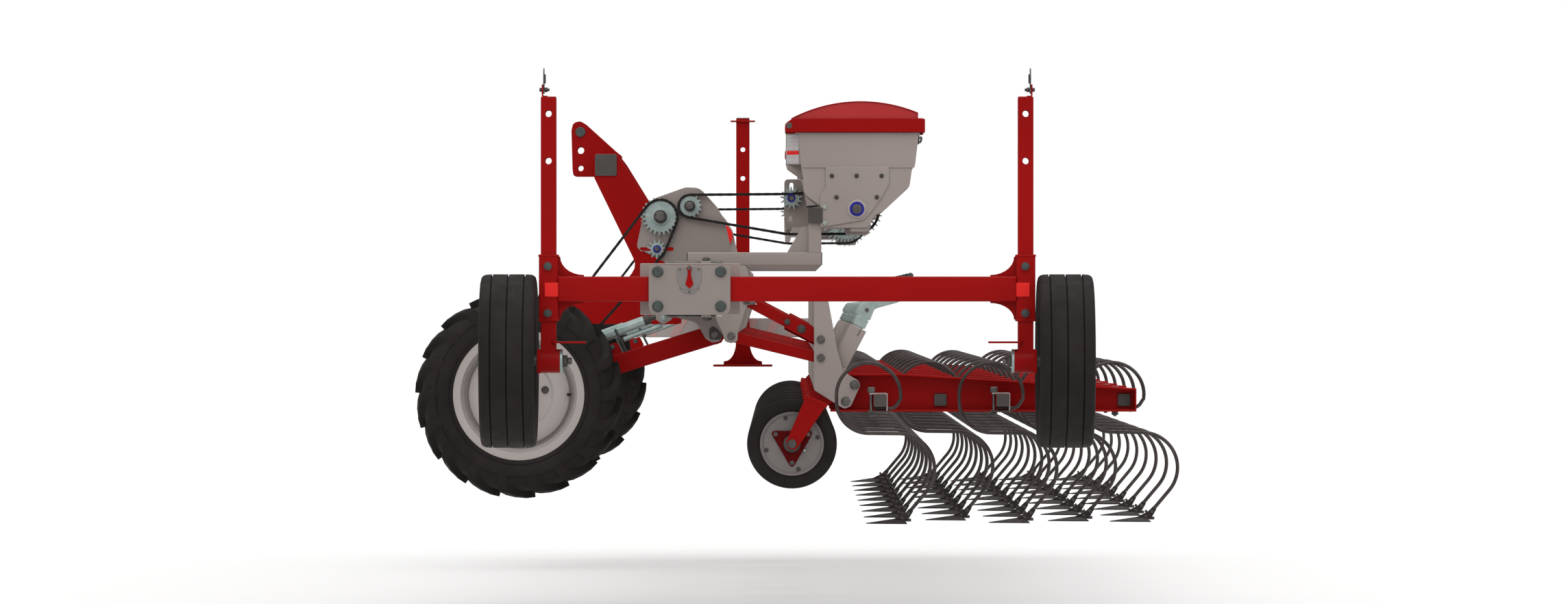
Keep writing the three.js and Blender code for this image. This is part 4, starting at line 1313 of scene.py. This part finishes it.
DRIVE_PIVOT = xz(pivot("drive_arm_near_swing"))
DRIVE_HUB = xz(pivot("drive_wheel_near_spin"))
INPUT = xz(pivot("input_shaft_spin"))
OUTPUT = xz(pivot("output_shaft_spin"))
METERING = xz(pivot("metering_shaft_spin"))
TENSIONER = off(INPUT, (-12, -109))[0]
IDLER = off(METERING, (-217, 42))[0]
GUIDE = off(METERING, (-229, -67))[0]
CHAIN_PLANE, ARM_PLANE, PLATE_PLANE = 112, 150, 132  # inboard of the wheel's middle
CHAIN_PITCH = 15.875
TOOTH_DEPTH = {15: 9, 18: 9, 31: 33}  # by the number of teeth; 14 for the others
ROLLER, WRAP_REACH = 3.9, 12
GEAR_RADIUS, GEAR_TOOTH = {26: 64.9, 16: 39.7}, 7.4
LUGS, FIRST_LUG = 18, 116.5
STRUT_TOP, STRUT_FOOT = off(DRIVE_PIVOT, (-177, 68), (-383, -7))


def sprocket(s, at, teeth, plane, bore, material=ZINC, hub=True, phase=0.0):
    """A plate sprocket in the chain's plane, with a hub boss and a keyed collar."""
    radius = tooth_radius(teeth)
    outline = toothed(*at, radius, teeth, TOOTH_DEPTH.get(teeth, 14), True, phase)
    s.prism(outline, plane - 3, plane + 3, material, bevel=0.9, holes=[ring(*at, bore + 0.2, 20)])
    if hub:
        s.disc(*at, radius * 0.52, plane - 7, plane + 7, material, hole=bore + 0.2, steps=36, edge=1.2)
        s.disc(*at, bore + 7, plane - 12, plane + 12, material, hole=bore + 0.2, steps=28, edge=1)


def route(circles):
    """A chain's closed line round circles of (x, z, radius, sense), as points and running lengths."""
    legs = []
    for i, (x, z, r, sense) in enumerate(circles):
        nx, nz, nr, nsense = circles[(i + 1) % len(circles)]
        gap = math.hypot(nx - x, nz - z)
        turn = math.atan2(nz - z, nx - x) + math.asin((sense * r - nsense * nr) / gap)
        legs.append(turn)
    points = []
    for i, (x, z, r, sense) in enumerate(circles):
        into, away = legs[i - 1], legs[i]
        sweep = (away - into) % (2 * math.pi)
        if sense < 0:
            sweep -= 2 * math.pi
        if abs(sweep) > 2 * math.pi - 0.2:
            sweep = 0.0
        steps = max(2, int(abs(sweep) / 0.15))
        for k in range(steps + 1):
            a = into + sweep * k / steps
            points.append((x + sense * r * math.sin(a), z - sense * r * math.cos(a)))
    return points


def resample(points, pitch):
    """Points one pitch apart round a closed line."""
    closed = points + [points[0]]
    length = sum(math.dist(a, b) for a, b in zip(closed, closed[1:]))
    count = round(length / pitch / 2) * 2
    step = length / count
    out, walked, due = [], 0.0, 0.0
    for a, b in zip(closed, closed[1:]):
        reach = math.dist(a, b)
        while due <= walked + reach - 1e-6 and len(out) < count:
            t = (due - walked) / reach
            out.append((a[0] + (b[0] - a[0]) * t, a[1] + (b[1] - a[1]) * t))
            due += step
        walked += reach
    return out


def roller_chain(circles, plane):
    """Inner and outer link plates in turn, on rollers that part where teeth pass between the plates."""
    s = Solid()
    pins = resample(route(circles), CHAIN_PITCH)
    for i, at in enumerate(pins):
        ahead = pins[(i + 1) % len(pins)]
        reach, half = ((6.6, 4.2), (4.6, 4.6))[i % 2]
        plate = slotted(at, ahead, half, 3)
        for way in (-1, 1):
            s.prism(plate, plane + way * reach, plane + way * (reach + 1.6), CHAIN, bevel=0.35)
        wraps = any(math.dist(at, (x, z)) < radius + WRAP_REACH for x, z, radius, _ in circles)
        for start, stop in ((-3.6, -6.4), (3.6, 6.4)) if wraps else ((-6.4, 6.4),):
            s.disc(*at, ROLLER, plane + start, plane + stop, CHAIN, steps=8, edge=0.5)
    return s


def tooth_radius(teeth):
    return CHAIN_PITCH / (2 * math.sin(math.pi / teeth))


def transmission_plate(out):
    s = Solid()
    plane = -out * PLATE_PLANE
    x, z = INPUT
    foot = extent("transmission_plate_near")[0][2]
    outline = off(
        INPUT, (-82, -106, 20), (-60, 0, 20), (-22, 62, 20), (84, 100, 40), (132, 98, 40), (190, 34, 30),
        (216, -9, 30), (241, -121, 8), (241, foot - z, 3), (37, foot - z, 3), (0, -146, 8),
    )
    slot = slotted((x - 64, z - 109), (x + 39, z - 109), 6)
    holes = [slot, ring(*INPUT, 17.4, 20), ring(*OUTPUT, 13.4, 20)]
    s.prism(rounded(outline), plane - 4, plane + 4, GREY, holes=holes, bevel=1.2)
    for at, bore in ((INPUT, 17.6), (OUTPUT, 13.6)):
        for way in (-1, 1):
            face = plane + way * 12
            s.disc(*at, bore + 15, plane + way * 3.5, face, DARK_BOLT, hole=bore, steps=28)
            for angle in (30, 150, 270):
                s.bolt(*spot(at, bore + 9.5, angle), face, way, 4, BOLT, washer=False)
    s.disc(x + 151, z - 24, 9, plane + out * 4, plane + out * 5.5, GREY, hole=6.5, steps=24, edge=0.4)
    s.block(x + 40, x + 238, plane, plane - out * 44, foot, foot + 8, GREY, 2)
    for px in (x + 66, x + 212):
        s.prism(ring(px, plane - out * 26, 13, 6), foot + 8, foot + 18, BOLT, "z", bevel=1.5)
        s.disc(px, plane - out * 26, 7, foot + 8, foot + 24, BOLT, "z", steps=14)
    s.disc(x + 167, z - 31, 49, plane - out * 5, plane - out * 22, BRIGHT_RED, steps=48, edge=3)
    s.rod([(x + 41, plane - out * 4, foot + 8), (x + 237, plane - out * 4, foot + 8)], 3, GREY, 6)
    return s


def tensioner(out):
    """The idler that takes up the drive chain's slack, on a screw in the plate's slot."""
    s = Solid()
    plane = -out * CHAIN_PLANE
    sprocket(s, TENSIONER, 11, plane, 9, hub=False, phase=0.25)
    s.disc(*TENSIONER, 17, plane - 6, plane + 6, ZINC, hole=9.2, steps=28)
    s.disc(*TENSIONER, 13.2, plane + out * 5, plane + out * 9, BLUE, hole=8.6, steps=28, edge=0.8)
    s.disc(*TENSIONER, 8.4, plane - 26, plane + 11, BOLT, steps=24, edge=2)
    s.bolt(*TENSIONER, -out * (PLATE_PLANE + 4), -out, 13, BOLT)
    return s


def feed_idler(out):
    """The idler and the guide roller of the feed chain, on their slotted plate."""
    s = Solid()
    plane, carrier = -out * CHAIN_PLANE, -out * (CHAIN_PLANE + 16)
    low, high = sorted((plane, carrier))
    x, z = IDLER
    outline = off(IDLER, (-24, -98, 14), (55, -98, 4), (55, -40, 20), (33, 64, 16), (-24, 64, 14))
    slots = [slotted((x, z + 30), (x, z + 46), 6.5), slotted((x - 4, z - 78), (x - 4, z - 66), 6.5)]
    s.prism(rounded(outline, 6), carrier - 3, carrier + 3, GREY, holes=slots, bevel=1)
    sprocket(s, IDLER, 13, plane, 10, hub=False, phase=0.3)
    s.disc(*IDLER, 20, plane - 6, plane + 6, ZINC, hole=10.2, steps=28)
    s.disc(*IDLER, 14.4, plane + out * 5, plane + out * 9, BLUE, hole=10.4, steps=28, edge=0.8)
    s.disc(*IDLER, 10, low - 4, high + 4, BOLT, steps=24, edge=2)
    s.disc(*GUIDE, 8, plane - 9, plane + 9, GREY, hole=5, steps=28, edge=2)
    s.disc(*GUIDE, 5, low - 2, high + 2, BOLT, steps=16)
    tab = off(GUIDE, (-9, -9, 7), (9, -9, 7), (20, 30, 4), (-9, 30, 4))
    s.prism(rounded(tab, 4), carrier - 2.6, carrier + 2.6, GREY, bevel=0.8)
    return s


def drive_arm(out):
    """A box arm with a pivot bush, the wheel's stub axle, and the lugs of the down-pressure strut."""
    s = Solid()
    plane = -out * ARM_PLANE
    s.prism(band(DRIVE_PIVOT, DRIVE_HUB, 66, 6, extra=18), plane - 25, plane + 25, RED, bevel=3)
    s.disc(*DRIVE_PIVOT, 34, plane - 27, plane + 27, RED, steps=40, edge=2)
    s.disc(*DRIVE_PIVOT, 11.8, plane - 46, plane + 46, BOLT, steps=24, edge=1.5)
    s.disc(*DRIVE_HUB, 36, plane - 27, plane + 27, RED, steps=40, edge=2)
    s.disc(*DRIVE_HUB, 14.6, plane - out * 34, out * 100, BOLT, steps=28, edge=2)
    s.prism(ring(*DRIVE_HUB, 25, 6, 10), plane - out * 27, plane - out * 41, BOLT, bevel=2)
    lug = [(*along_arm(t, side), 10) for t, side in ((0.46, 30), (0.54, 30), (0.53, 72), (0.47, 72))]
    s.plates(rounded(lug, 8), (plane - 18, plane + 10), 8, RED, bevel=1)
    s.bolt_pair(along_arm(0.5, 60), 18, 9, GREEN_BOLT, plane)
    for t in (0.44, 0.585):
        a, b = along_arm(t, 31), along_arm(t + 0.02, 112)
        for y in (plane - 22, plane + 22):
            s.rod([(a[0], y, a[1]), (b[0], y, b[1])], 4, GREEN_BOLT, 8)
        s.rod([(b[0], plane - 24, b[1]), (b[0], plane + 24, b[1])], 5, GREEN_BOLT, 8)
    return s


def along_arm(t, side):
    """A point at a share of the drive arm's length, with an offset upwards across it."""
    return beside(DRIVE_PIVOT, DRIVE_HUB, t * math.dist(DRIVE_PIVOT, DRIVE_HUB), -side)


def strut_barrel(out):
    """The plated spring barrel, hung from the toolbar's eye and tied to the arm."""
    s = Solid()
    plane = -out * ARM_PLANE
    top, line = STRUT_TOP, Vector(STRUT_FOOT) - Vector(STRUT_TOP)
    for shares, radius, material, sides in (
            ((0.0, 0.22), 9, DARK_BOLT, 16), ((0.2, 0.31), 17, DARK_BOLT, 24),
            ((0.3, 0.31, 0.62, 0.63), 17.5, ZINC, 28), ((0.62, 0.63, 0.98, 1.0), 20.5, ZINC, 28),
            ((0.99, 1.03), 12, DARK_BOLT, 20)):
        s.rod([(top[0] + line.x * t, plane, top[1] + line.y * t) for t in shares], radius, material, sides)
    s.disc(*top, 15, plane - 14, plane + 14, ZINC, hole=7.4, steps=24)
    return s


def spring_rods(out):
    """The guide rod below the barrel."""
    s = Solid()
    (x0, z0), (x1, z1), (x2, z2) = (beside(STRUT_TOP, STRUT_FOOT, t, 34) for t in (12, 150, 156))
    plane = -out * ARM_PLANE
    s.rod([(x0, plane, z0), (x1, plane, z1)], 8.5, ZINC, 14)
    s.rod([(x1, plane, z1), (x2, plane, z2)], 11, DARK_BOLT, 14)
    return s


def drive_tyre():
    """A field tyre: rounded shoulders, sidewall ribs and two rows of slanted lugs."""
    s = Solid()
    half = [(216, 62), (222, 74), (240, 84), (262, 89), (286, 88), (304, 80), (317, 64), (325, 40), (328, 0)]
    side = [(216, 30), (214, 50)] + half
    profile = [(r, -w) for r, w in side[::-1]] + [(r, w) for r, w in [(216, 0)] + side[:-1]]
    s.lathe(profile, *DRIVE_HUB, TYRE, steps=96)
    for way in (-1, 1):
        for radius, width in ((232, 82), (276, 90.5)):
            bead = [(radius, width - 4), (radius + 2.4, width + 1.6), (radius + 5, width - 3)]
            s.lathe([(r, way * w) for r, w in bead], *DRIVE_HUB, TYRE, steps=96)
    # Each lug's sections: place across the tyre, lag behind its tip, and the radii of its top and root
    sections = [(-9, 0.0, 350, 318), (30, 0.10, 346, 318), (58, 0.19, 340, 312), (78, 0.26, 332, 298),
                (90, 0.30, 313, 280), (91, 0.31, 282, 272)]
    for way in (-1, 1):
        for k in range(LUGS):
            lead = math.radians(FIRST_LUG + 360 * k / LUGS)
            rows = []
            for w, lag, top, root in sections:
                corners = ((-0.066, root), (-0.05, top), (0.042, top), (0.052, root))
                around = [spot(DRIVE_HUB, radius, math.degrees(lead - lag + turn))
                          for turn, radius in corners]
                rows.append([(x, way * w, z) for x, z in around])
            s.loft(rows, TYRE)
    return s


def drive_rim(out):
    """A dished disc wheel with a stepped rim, hub, screws and a valve hole."""
    s = Solid()
    rim = [(196, -66), (222, -71), (224, -64), (206, -56), (192, -30), (188, 0), (192, 30), (206, 56),
           (224, 64), (222, 71), (196, 66), (184, 32), (180, 0), (184, -32)]
    s.lathe(rim, *DRIVE_HUB, PALE, steps=96)
    dish = [(186, 8), (176, 10), (168, 26), (150, 34), (118, 34), (108, 24), (60, 20), (50, 20), (50, 14),
            (60, 14), (110, 18), (120, 27), (148, 27), (162, 20), (172, 2), (186, 0)]
    s.lathe([(r, out * w) for r, w in dish], *DRIVE_HUB, PALE, steps=80)
    for k in range(5):
        at = spot(DRIVE_HUB, 89, 10 + 72 * k)
        s.bolt(*at, out * 22, out, 13, BOLT)
        s.bolt(*at, out * 14, -out, 11, BOLT)
    x, z = DRIVE_HUB
    s.rod([(x + 176, -out * 2, z), (x + 170, out * 22, z), (x + 166, out * 44, z)], 4, DARK_BOLT, 10)
    s.disc(x + 166, z, 5.5, out * 42, out * 52, CHAIN, steps=14)
    tube = [(16.5, -98), (40, -98), (46, -40), (56, -4), (58, 20), (54, 30), (38, 40), (34, 78), (30, 88),
            (16.5, 88)]
    s.lathe([(r, out * w) for r, w in tube], *DRIVE_HUB, RED, steps=40)
    s.disc(*DRIVE_HUB, 28, out * 87, out * 96, DARK_BOLT, steps=32, hole=15, edge=3)
    sprocket(s, DRIVE_HUB, 18, -out * CHAIN_PLANE, 16.6)
    return s


def gear(s, at, teeth, plane, bore):
    radius, hole = GEAR_RADIUS[teeth], [ring(*at, bore, 20)]
    s.prism(toothed(*at, radius, teeth, GEAR_TOOTH, False), plane - 8, plane + 8, ZINC, bevel=1, holes=hole)
    for way in (-1, 1):
        s.disc(*at, radius * 0.55, plane + way * 8, plane + way * 13, ZINC, hole=bore, steps=28)


def shaft(name, bore, teeth, gear_teeth, phase=0.0):
    """A shaft with its sprocket and its gear on each side, with collars, keys and turned ends."""
    s = Solid()
    at = xz(pivot(f"{name}_spin"))
    y0, y1 = (corner[1] for corner in extent(name))
    s.lathe([(bore - 2, y0), (bore, y0 + 2), (bore, y1 - 2), (bore - 2, y1), (0, y1), (0, y0)], *at, BOLT,
            steps=28)
    for side, out in DRIVE_SIDES.items():
        plane = pivot(f"drive_wheel_{side}_spin")[1] - out * CHAIN_PLANE
        sprocket(s, at, teeth, plane, bore, phase=phase)
        if gear_teeth:
            gear(s, at, gear_teeth, plane - out * 38, bore + 0.2)
        for y in (plane + out * 13, plane - out * 52):
            s.disc(*at, bore + 7, y - 5, y + 5, DARK_BOLT, hole=bore + 0.2, steps=24)
        s.disc(*at, bore * 0.62, plane + out * 12, plane + out * 12.4, DARK_BOLT, steps=20, edge=0.1)
    return s


def make_drive():
    for side, out in DRIVE_SIDES.items():
        y = pivot(f"drive_wheel_{side}_spin")[1]
        arm, wheel = f"drive_arm_{side}", f"drive_wheel_{side}"
        plate = f"transmission_plate_{side}"
        place(transmission_plate(out), f"chain_plate_{side}", "root", plate, y)
        place(tensioner(out), f"chain_tensioner_{side}", "root", (), y)
        place(feed_idler(out), f"feed_idler_{side}", "root", "hopper_frame", y)
        place(drive_arm(out), f"drive_arm_tube_{side}", arm, arm, y)
        place(drive_tyre(), f"drive_tyre_{side}", wheel, wheel, y)
        place(drive_rim(out), f"drive_rim_{side}", wheel, wheel, y)
        for solid, kind in ((strut_barrel(out), "strut_barrel"), (spring_rods(out), "spring_rods")):
            obj = place(solid, f"{kind}_{side}", "root", (), y, ride=False)
            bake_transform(obj)
        drive = roller_chain(
            [(*DRIVE_HUB, tooth_radius(18), -1), (*INPUT, tooth_radius(23), -1),
             (*TENSIONER, tooth_radius(11), -1)],
            -out * CHAIN_PLANE)
        obj = place(drive, f"drive_chain_{side}", "root", (), y, ride=False)
        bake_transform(obj)
        feed = roller_chain(
            [(*OUTPUT, tooth_radius(15), 1), (*GUIDE, 13, 1), (*METERING, tooth_radius(31), 1),
             (*IDLER, 14, 1)],
            -out * CHAIN_PLANE)
        place(feed, f"feed_chain_{side}", "root", (), y)
    shafts = (("input_shaft", 16, 23, 26), ("output_shaft", 12, 15, 16, 0.25), ("metering_shaft", 13, 31, 0))
    for name, *build in shafts:
        place(shaft(name, *build), f"{name}_set", name, name)


# Hoppers, drawn from the near wall at y = 0

WALL = 6

def hopper_body():
    """The two end walls, the skin between them and the flange round the mouth, with the hopper's depth."""
    s = Solid()
    low, high = extent("hopper_near")
    depth, top = high[1] - low[1], METERING[1] + 254
    outline = off(
        METERING, (-196, 254, 6), (-186, 146, 8), (-179, 100, 8), (-177, 60, 14), (-166, 42, 14),
        (-120, 8, 16),
        (-112, -63, 6), (36, -63, 8), (62, -18, 8), (84, -11, 10), (169, 68, 10), (175, 78, 6), (183, 134, 8),
        (193, 146, 8), (206, 254, 6),
    )
    skin = rounded(outline, 6, 4)
    s.plates(skin, (0, depth - WALL), WALL, GREY, bevel=1.8)
    # The skin's section is the outline below the mouth, thickened inwards.
    first = max(range(len(skin)), key=lambda i: (skin[i][1] > top - 3, skin[i][0]))
    order = skin[first:] + skin[:first]
    if order[1][1] > order[-1][1]:
        order = [order[0]] + order[:0:-1]
    run = [p for p in order if p[1] < top - 0.5]
    if area(run) < 0:
        run = run[::-1]
    start = max(range(len(run)), key=lambda i: math.dist(run[i - 1], run[i]))
    run = run[start:] + run[:start]
    inner = inset(run, WALL)
    for end in (0, -1):
        inner[end] = (inner[end][0], run[end][1])
    s.prism(run + inner[::-1], WALL - 0.5, depth - WALL + 0.5, GREY, bevel=0.4)
    rim = rectangle(low[0] - 2, high[0] + 2, -3, depth + 3, 6)
    mouth = rectangle(low[0] + 7, high[0] - 7, 7, depth - 7, 4)
    s.prism(rim, top - 5, top - 0.3, GREY, "z", holes=[mouth], bevel=1)
    return s, depth


def hopper_fittings(depth):
    """Side plates with their screws, the shaft's boss and seal, the outlet housings, ribs and spouts."""
    s = Solid()
    x, z = METERING
    side = off(
        METERING, (-104, 138, 3), (107, 138, 3), (107, 84, 20), (86, 44, 20), (46, -12, 14), (22, -37, 8),
        (-30, -46, 8), (-122, -62, 3), (-122, 0, 3), (-122, 44, 24), (-104, 70, 10),
    )
    lip = off(METERING, (-178, 137, 1), (190, 137, 1), (193, 143, 1), (-184, 143, 1))
    housing = off(METERING, (-22, -6, 4), (46, -6, 8), (46, -62, 10), (34, -76, 6), (-22, -76, 4))
    for face, way in ((0, -1), (depth, 1)):
        s.prism(rounded(side, 4, 4), face, face + way * 5, GREY, holes=[ring(x, z, 16, 20)], bevel=1.6)
        for at in off(METERING, (-83, 110), (-1, 110), (82, 110), (-68, 39), (66, 39)):
            s.bolt(*at, face + way * 5, way, 7.5, DARK_BOLT)
        for at in off(METERING, (-107, 6), (-107, -47)):
            s.disc(*at, 7, face + way * 5, face + way * 11, ZINC, steps=18, edge=2.6)
        s.disc(x, z, 31, face + way * 4.5, face + way * 9, PALE, hole=15, steps=40, edge=1.4)
        s.disc(x, z, 24, face + way * 8, face + way * 13, BLUE, hole=16, steps=36, edge=1.2)
        s.disc(x, z, 16, face + way * 7, face + way * 14, BOLT, hole=13.2, steps=28, edge=1)
        s.prism(rounded(lip, 1), face, face + way * 3.4, GREY, bevel=1.2)
        s.prism(rounded(housing), face - way * 46, face - way * 6, GREY, bevel=3)
    rib = rounded(off(METERING, (110, 18), (162, 66), (158, 70), (106, 24)), 1)
    s.plates(rib, [depth * k / 4 - 4 for k in (1, 2, 3)], 8, GREY)
    spout = off(METERING, (-34, -84), (40, -84), (44, -62), (-40, -62))
    s.plates(rounded(spout, 6), (94, 184, 274), 52, GREY, bevel=3)
    return s


def gauge_bay(depth):
    """The bay in the near hopper's front wall, with a level gauge's lines on its slanted end."""
    s = Solid()
    x, z = METERING
    front, bulge = x - 190, x - 236
    bay = [(front, 18), (bulge, 74), (bulge, depth - 74), (front, depth - 18), (front + 8, depth - 18),
           (front + 8, 18)]
    s.prism(rounded(bay, 6), z + 147, z + 251, GREY, "z", bevel=2)
    floor = [(front + 10, z + 148), (bulge + 1, z + 148), (bulge + 5, z + 136, 8), (front + 10, z + 100)]
    s.prism(rounded(floor, 3), 64, depth - 64, GREY, bevel=2)

    def mark(start, end, level, height, lift, material):
        """A strip on the slanted end, from one distance along it to another."""
        a, b = (front, 18), (bulge, 74)
        strip = [beside(a, b, along, left) for along,
                 left in ((start, -1), (end, -1), (end, lift), (start, lift))]
        s.prism(strip, level, level + height, material, "z", bevel=0.2)

    mark(5, 66, z + 152, 94, 1.2, LABEL)
    for k in range(7):
        mark(8, 62, z + 157 + 13 * k, 1.6, 1.7, GREY)
        mark(20, 40, z + 162 + 13 * k, 2.2, 1.7, STRIPE)
    mark(4, 64, z + 181, 13, 2.2, BRIGHT_RED)
    return s


def arch_radius(width, deep, shallow):
    """The radius of an arch of a width whose crown is `deep` above one end and `shallow` above the other."""
    low, high = deep, 20 * width
    for _ in range(48):
        radius = (low + high) / 2
        reach = math.sqrt(2 * radius * deep - deep ** 2) + math.sqrt(2 * radius * shallow - shallow ** 2)
        low, high = (radius, high) if reach < width else (low, radius)
    return radius


def hopper_lid(depth):
    s = Solid()
    (x0, _, z0), (x1, _, crown) = extent("hopper_lid_near")
    hinge = xz(pivot("hopper_lid_near_hinge"))
    y0, y1 = -14, depth + 14
    band_top = z0 + 47
    side = [(x0, z0 + 6, 10), (x0 + 6, z0, 14), (x1, z0, 3), (x1, band_top - 4, 6), (x1 - 8, band_top, 4),
            (x0 + 26, band_top, 16), (x0, band_top - 18, 22)]
    for start, pin in ((y0, y0 - 2), (y1 - 6, y1 - 1)):
        s.prism(rounded(side, 4, 5), start, start + 6, RED, bevel=2)
        s.disc(*hinge, 10, pin, pin + 3, BOLT, steps=28, edge=1.2)
    s.block(x1 - 6, x1, y0 + 4, y1 - 4, z0, band_top - 2, RED, 2)
    s.block(x0 + 1, x0 + 6, y0 + 4, y1 - 4, z0 + 6, band_top - 18, RED, 2)
    left, right = x0 + 21, x1 - 23
    deep, shallow = crown - band_top, crown - band_top - 19
    radius = arch_radius(right - left, deep, shallow)
    centre = left + math.sqrt(2 * radius * deep - deep ** 2)
    start, end = (math.degrees(math.acos((edge - centre) / radius)) for edge in (right, left))
    dome = [(right, band_top - 5), *ring(centre, crown - radius, radius, 28, start, end),
            (left, band_top - 5)]
    inner = [(px * 0.985 + centre * 0.015, pz - 4) for px, pz in dome]
    s.prism(dome + inner[::-1], y0 + 6, y1 - 6, RED, bevel=2.5)
    # The dome's end plates use the lighter copy of the red paint: painted sheen.
    s.plates(dome, (y0 + 10, y1 - 15), 5, LID_SHEEN_RED, bevel=1.6)
    s.plates(rectangle(x1 - 34, x1 - 22, z0, band_top + 2), (y0 + 2, y1 - 14), 12, RED, bevel=1.5)
    for y in (depth * 0.3, depth * 0.7):
        s.block(x1 - 3, x1 + 1.5, y - 16, y + 16, z0 + 4, z0 + 30, ZINC, 2)
        clip = [(x1 - 2, y - 10, z0 + 14), (x1 - 1, y - 10, z0 + 3), (x1 - 1, y + 10, z0 + 3),
                (x1 - 2, y + 10, z0 + 14)]
        s.rod(clip, 2, ZINC, 8)
    return s


def latch_hooks(depth):
    """The hooks on the hopper's rear wall that the lid's clips hold on to."""
    s = Solid()
    _, high = extent("hopper_near")
    x, z = high[0], high[2] - 20
    for y in (depth * 0.3, depth * 0.7):
        s.block(x - 2, x + 2, y - 14, y + 14, z - 14, z + 14, BOLT, 2)
        s.rod([(x + 1, y, z - 10), (x + 7, y, z - 8), (x + 10, y, z + 4), (x + 5, y, z + 10)], 2.4, BOLT, 8)
    return s


def make_hoppers():
    for side in DRIVE_SIDES:
        y = extent(f"hopper_{side}")[0][1]
        node, lid = f"hopper_{side}", f"hopper_lid_{side}"
        body, depth = hopper_body()
        place(body, f"hopper_shell_{side}", "root", node, y)
        place(hopper_fittings(depth), f"hopper_fittings_{side}", "root", node, y)
        place(latch_hooks(depth), f"latch_hooks_{side}", "root", (), y)
        if side == "near":
            place(gauge_bay(depth), "level_gauge_bay", "root", (), y)
        place(hopper_lid(depth), f"lid_shell_{side}", lid, lid, y)


# The hoppers' frame

def hopper_tube():
    s = Solid()
    low, high = extent("hopper_frame")
    x, z = off(METERING, (-139, -21))[0]
    s.tube(x - 25, x + 25, low[1] + 3, high[1] - 3, z - 25, z + 25, 4, GREY, 5)
    s.caps(x, z, low[1], high[1], (25, 4, 6), (20, 22, 3), bevel=1.5)
    return s


def hopper_stand():
    """An arm that lies on the toolbar, with a post, a gusset and its end caps, drawn about y = 0."""
    s = Solid()
    x, deck, foot = BAR[0], DECK + 0.3, METERING[1]
    x0, x1, top = x - 22, x + 427, deck + 42.7
    s.tube(x0, x1 - 3, -20, 20, deck, top, 4, GREY, 4, axis="x")
    s.block(x1 - 4, x1, -20, 20, deck, top, CAP, 4, axis="x")
    s.block(x0 - 0.5, x0 + 3.5, -20, 20, deck, top, CAP, 4, axis="x")
    left, right = x + 381, x + 424
    s.tube(left, right, -20, 20, top - 0.5, foot - 46, 4, GREY, 4, axis="z")
    gusset = [(left - 71, top - 1), (left + 3, top - 1), (left + 3, top + 85), (left - 21, top + 85)]
    s.prism(rounded(gusset, 2), -3, 3, GREY, bevel=0.8)
    rear = [(left, foot - 60), (right + 6, foot - 60), (right + 14, foot + 8), (right + 1, foot + 8)]
    s.prism(rounded(rear, 3), -4, 4, GREY, bevel=0.8)
    for px in (x - 12, x + 70):
        for y in (-29, 29):
            s.block(px - 14, px + 14, y - 12, y + 12, deck, deck + 7, GREY, 3)
            s.prism(ring(px, y, 9, 6), deck + 7, deck + 14, BOLT, "z", bevel=1)
    return s


def make_hopper_frame():
    place(hopper_tube(), "hopper_tube", "root", "hopper_frame")
    stand = hopper_stand()
    for i, offset in enumerate((-2575, -1690, -850, 0, 850, 1690, 2575), 1):
        place(stand, f"hopper_stand_{i}", "root", "hopper_frame", MIDDLE_Y + offset)


# The parking stand at the far end

def parking_stand():
    s = Solid()
    low, high = extent("parking_stand")
    x, y = middle_of("parking_stand")
    z0, z1 = low[2] + 8, high[2]
    holed_post(s, x, y, 27, 27, z0 - 1, z1 - 3, [(z1 - 129, 10), (z1 - 246, 10)])
    s.block(x - 26, x + 26, y - 26, y + 26, z1 - 5, z1, CAP, 7, axis="z")
    s.prism(rectangle(x - 120, x + 120, y - 90, y + 90, 16), z0 - 8, z0, RED, "z", bevel=1.5)
    for way in (-1, 1):
        curve = [(x + way * 26, z0 - 0.5), (x + way * 78, z0 - 0.5), (x + way * 78, z0 + 12)]
        curve += [(x + way * (72 - 44 * across), z0 + 14 + 78 * up) for across, up in QUARTER]
        curve += [(x + way * 26, z0 + 96)]
        s.plates(curve, (y - 22, y + 16), 6, RED, bevel=1)
    s.prism(rectangle(x - 50, x + 50, y - 38, y + 38, 10), z1 - 17, z1 - 11, RED, "z", bevel=1.2)
    return s


make_camera()
make_light()
make_floor()
make_units()
make_toolbar()
make_hitch()
make_transport()
make_clamp()
make_drive()
make_hoppers()
make_hopper_frame()
place(parking_stand(), "stand_leg", "parking_stand", "parking_stand")
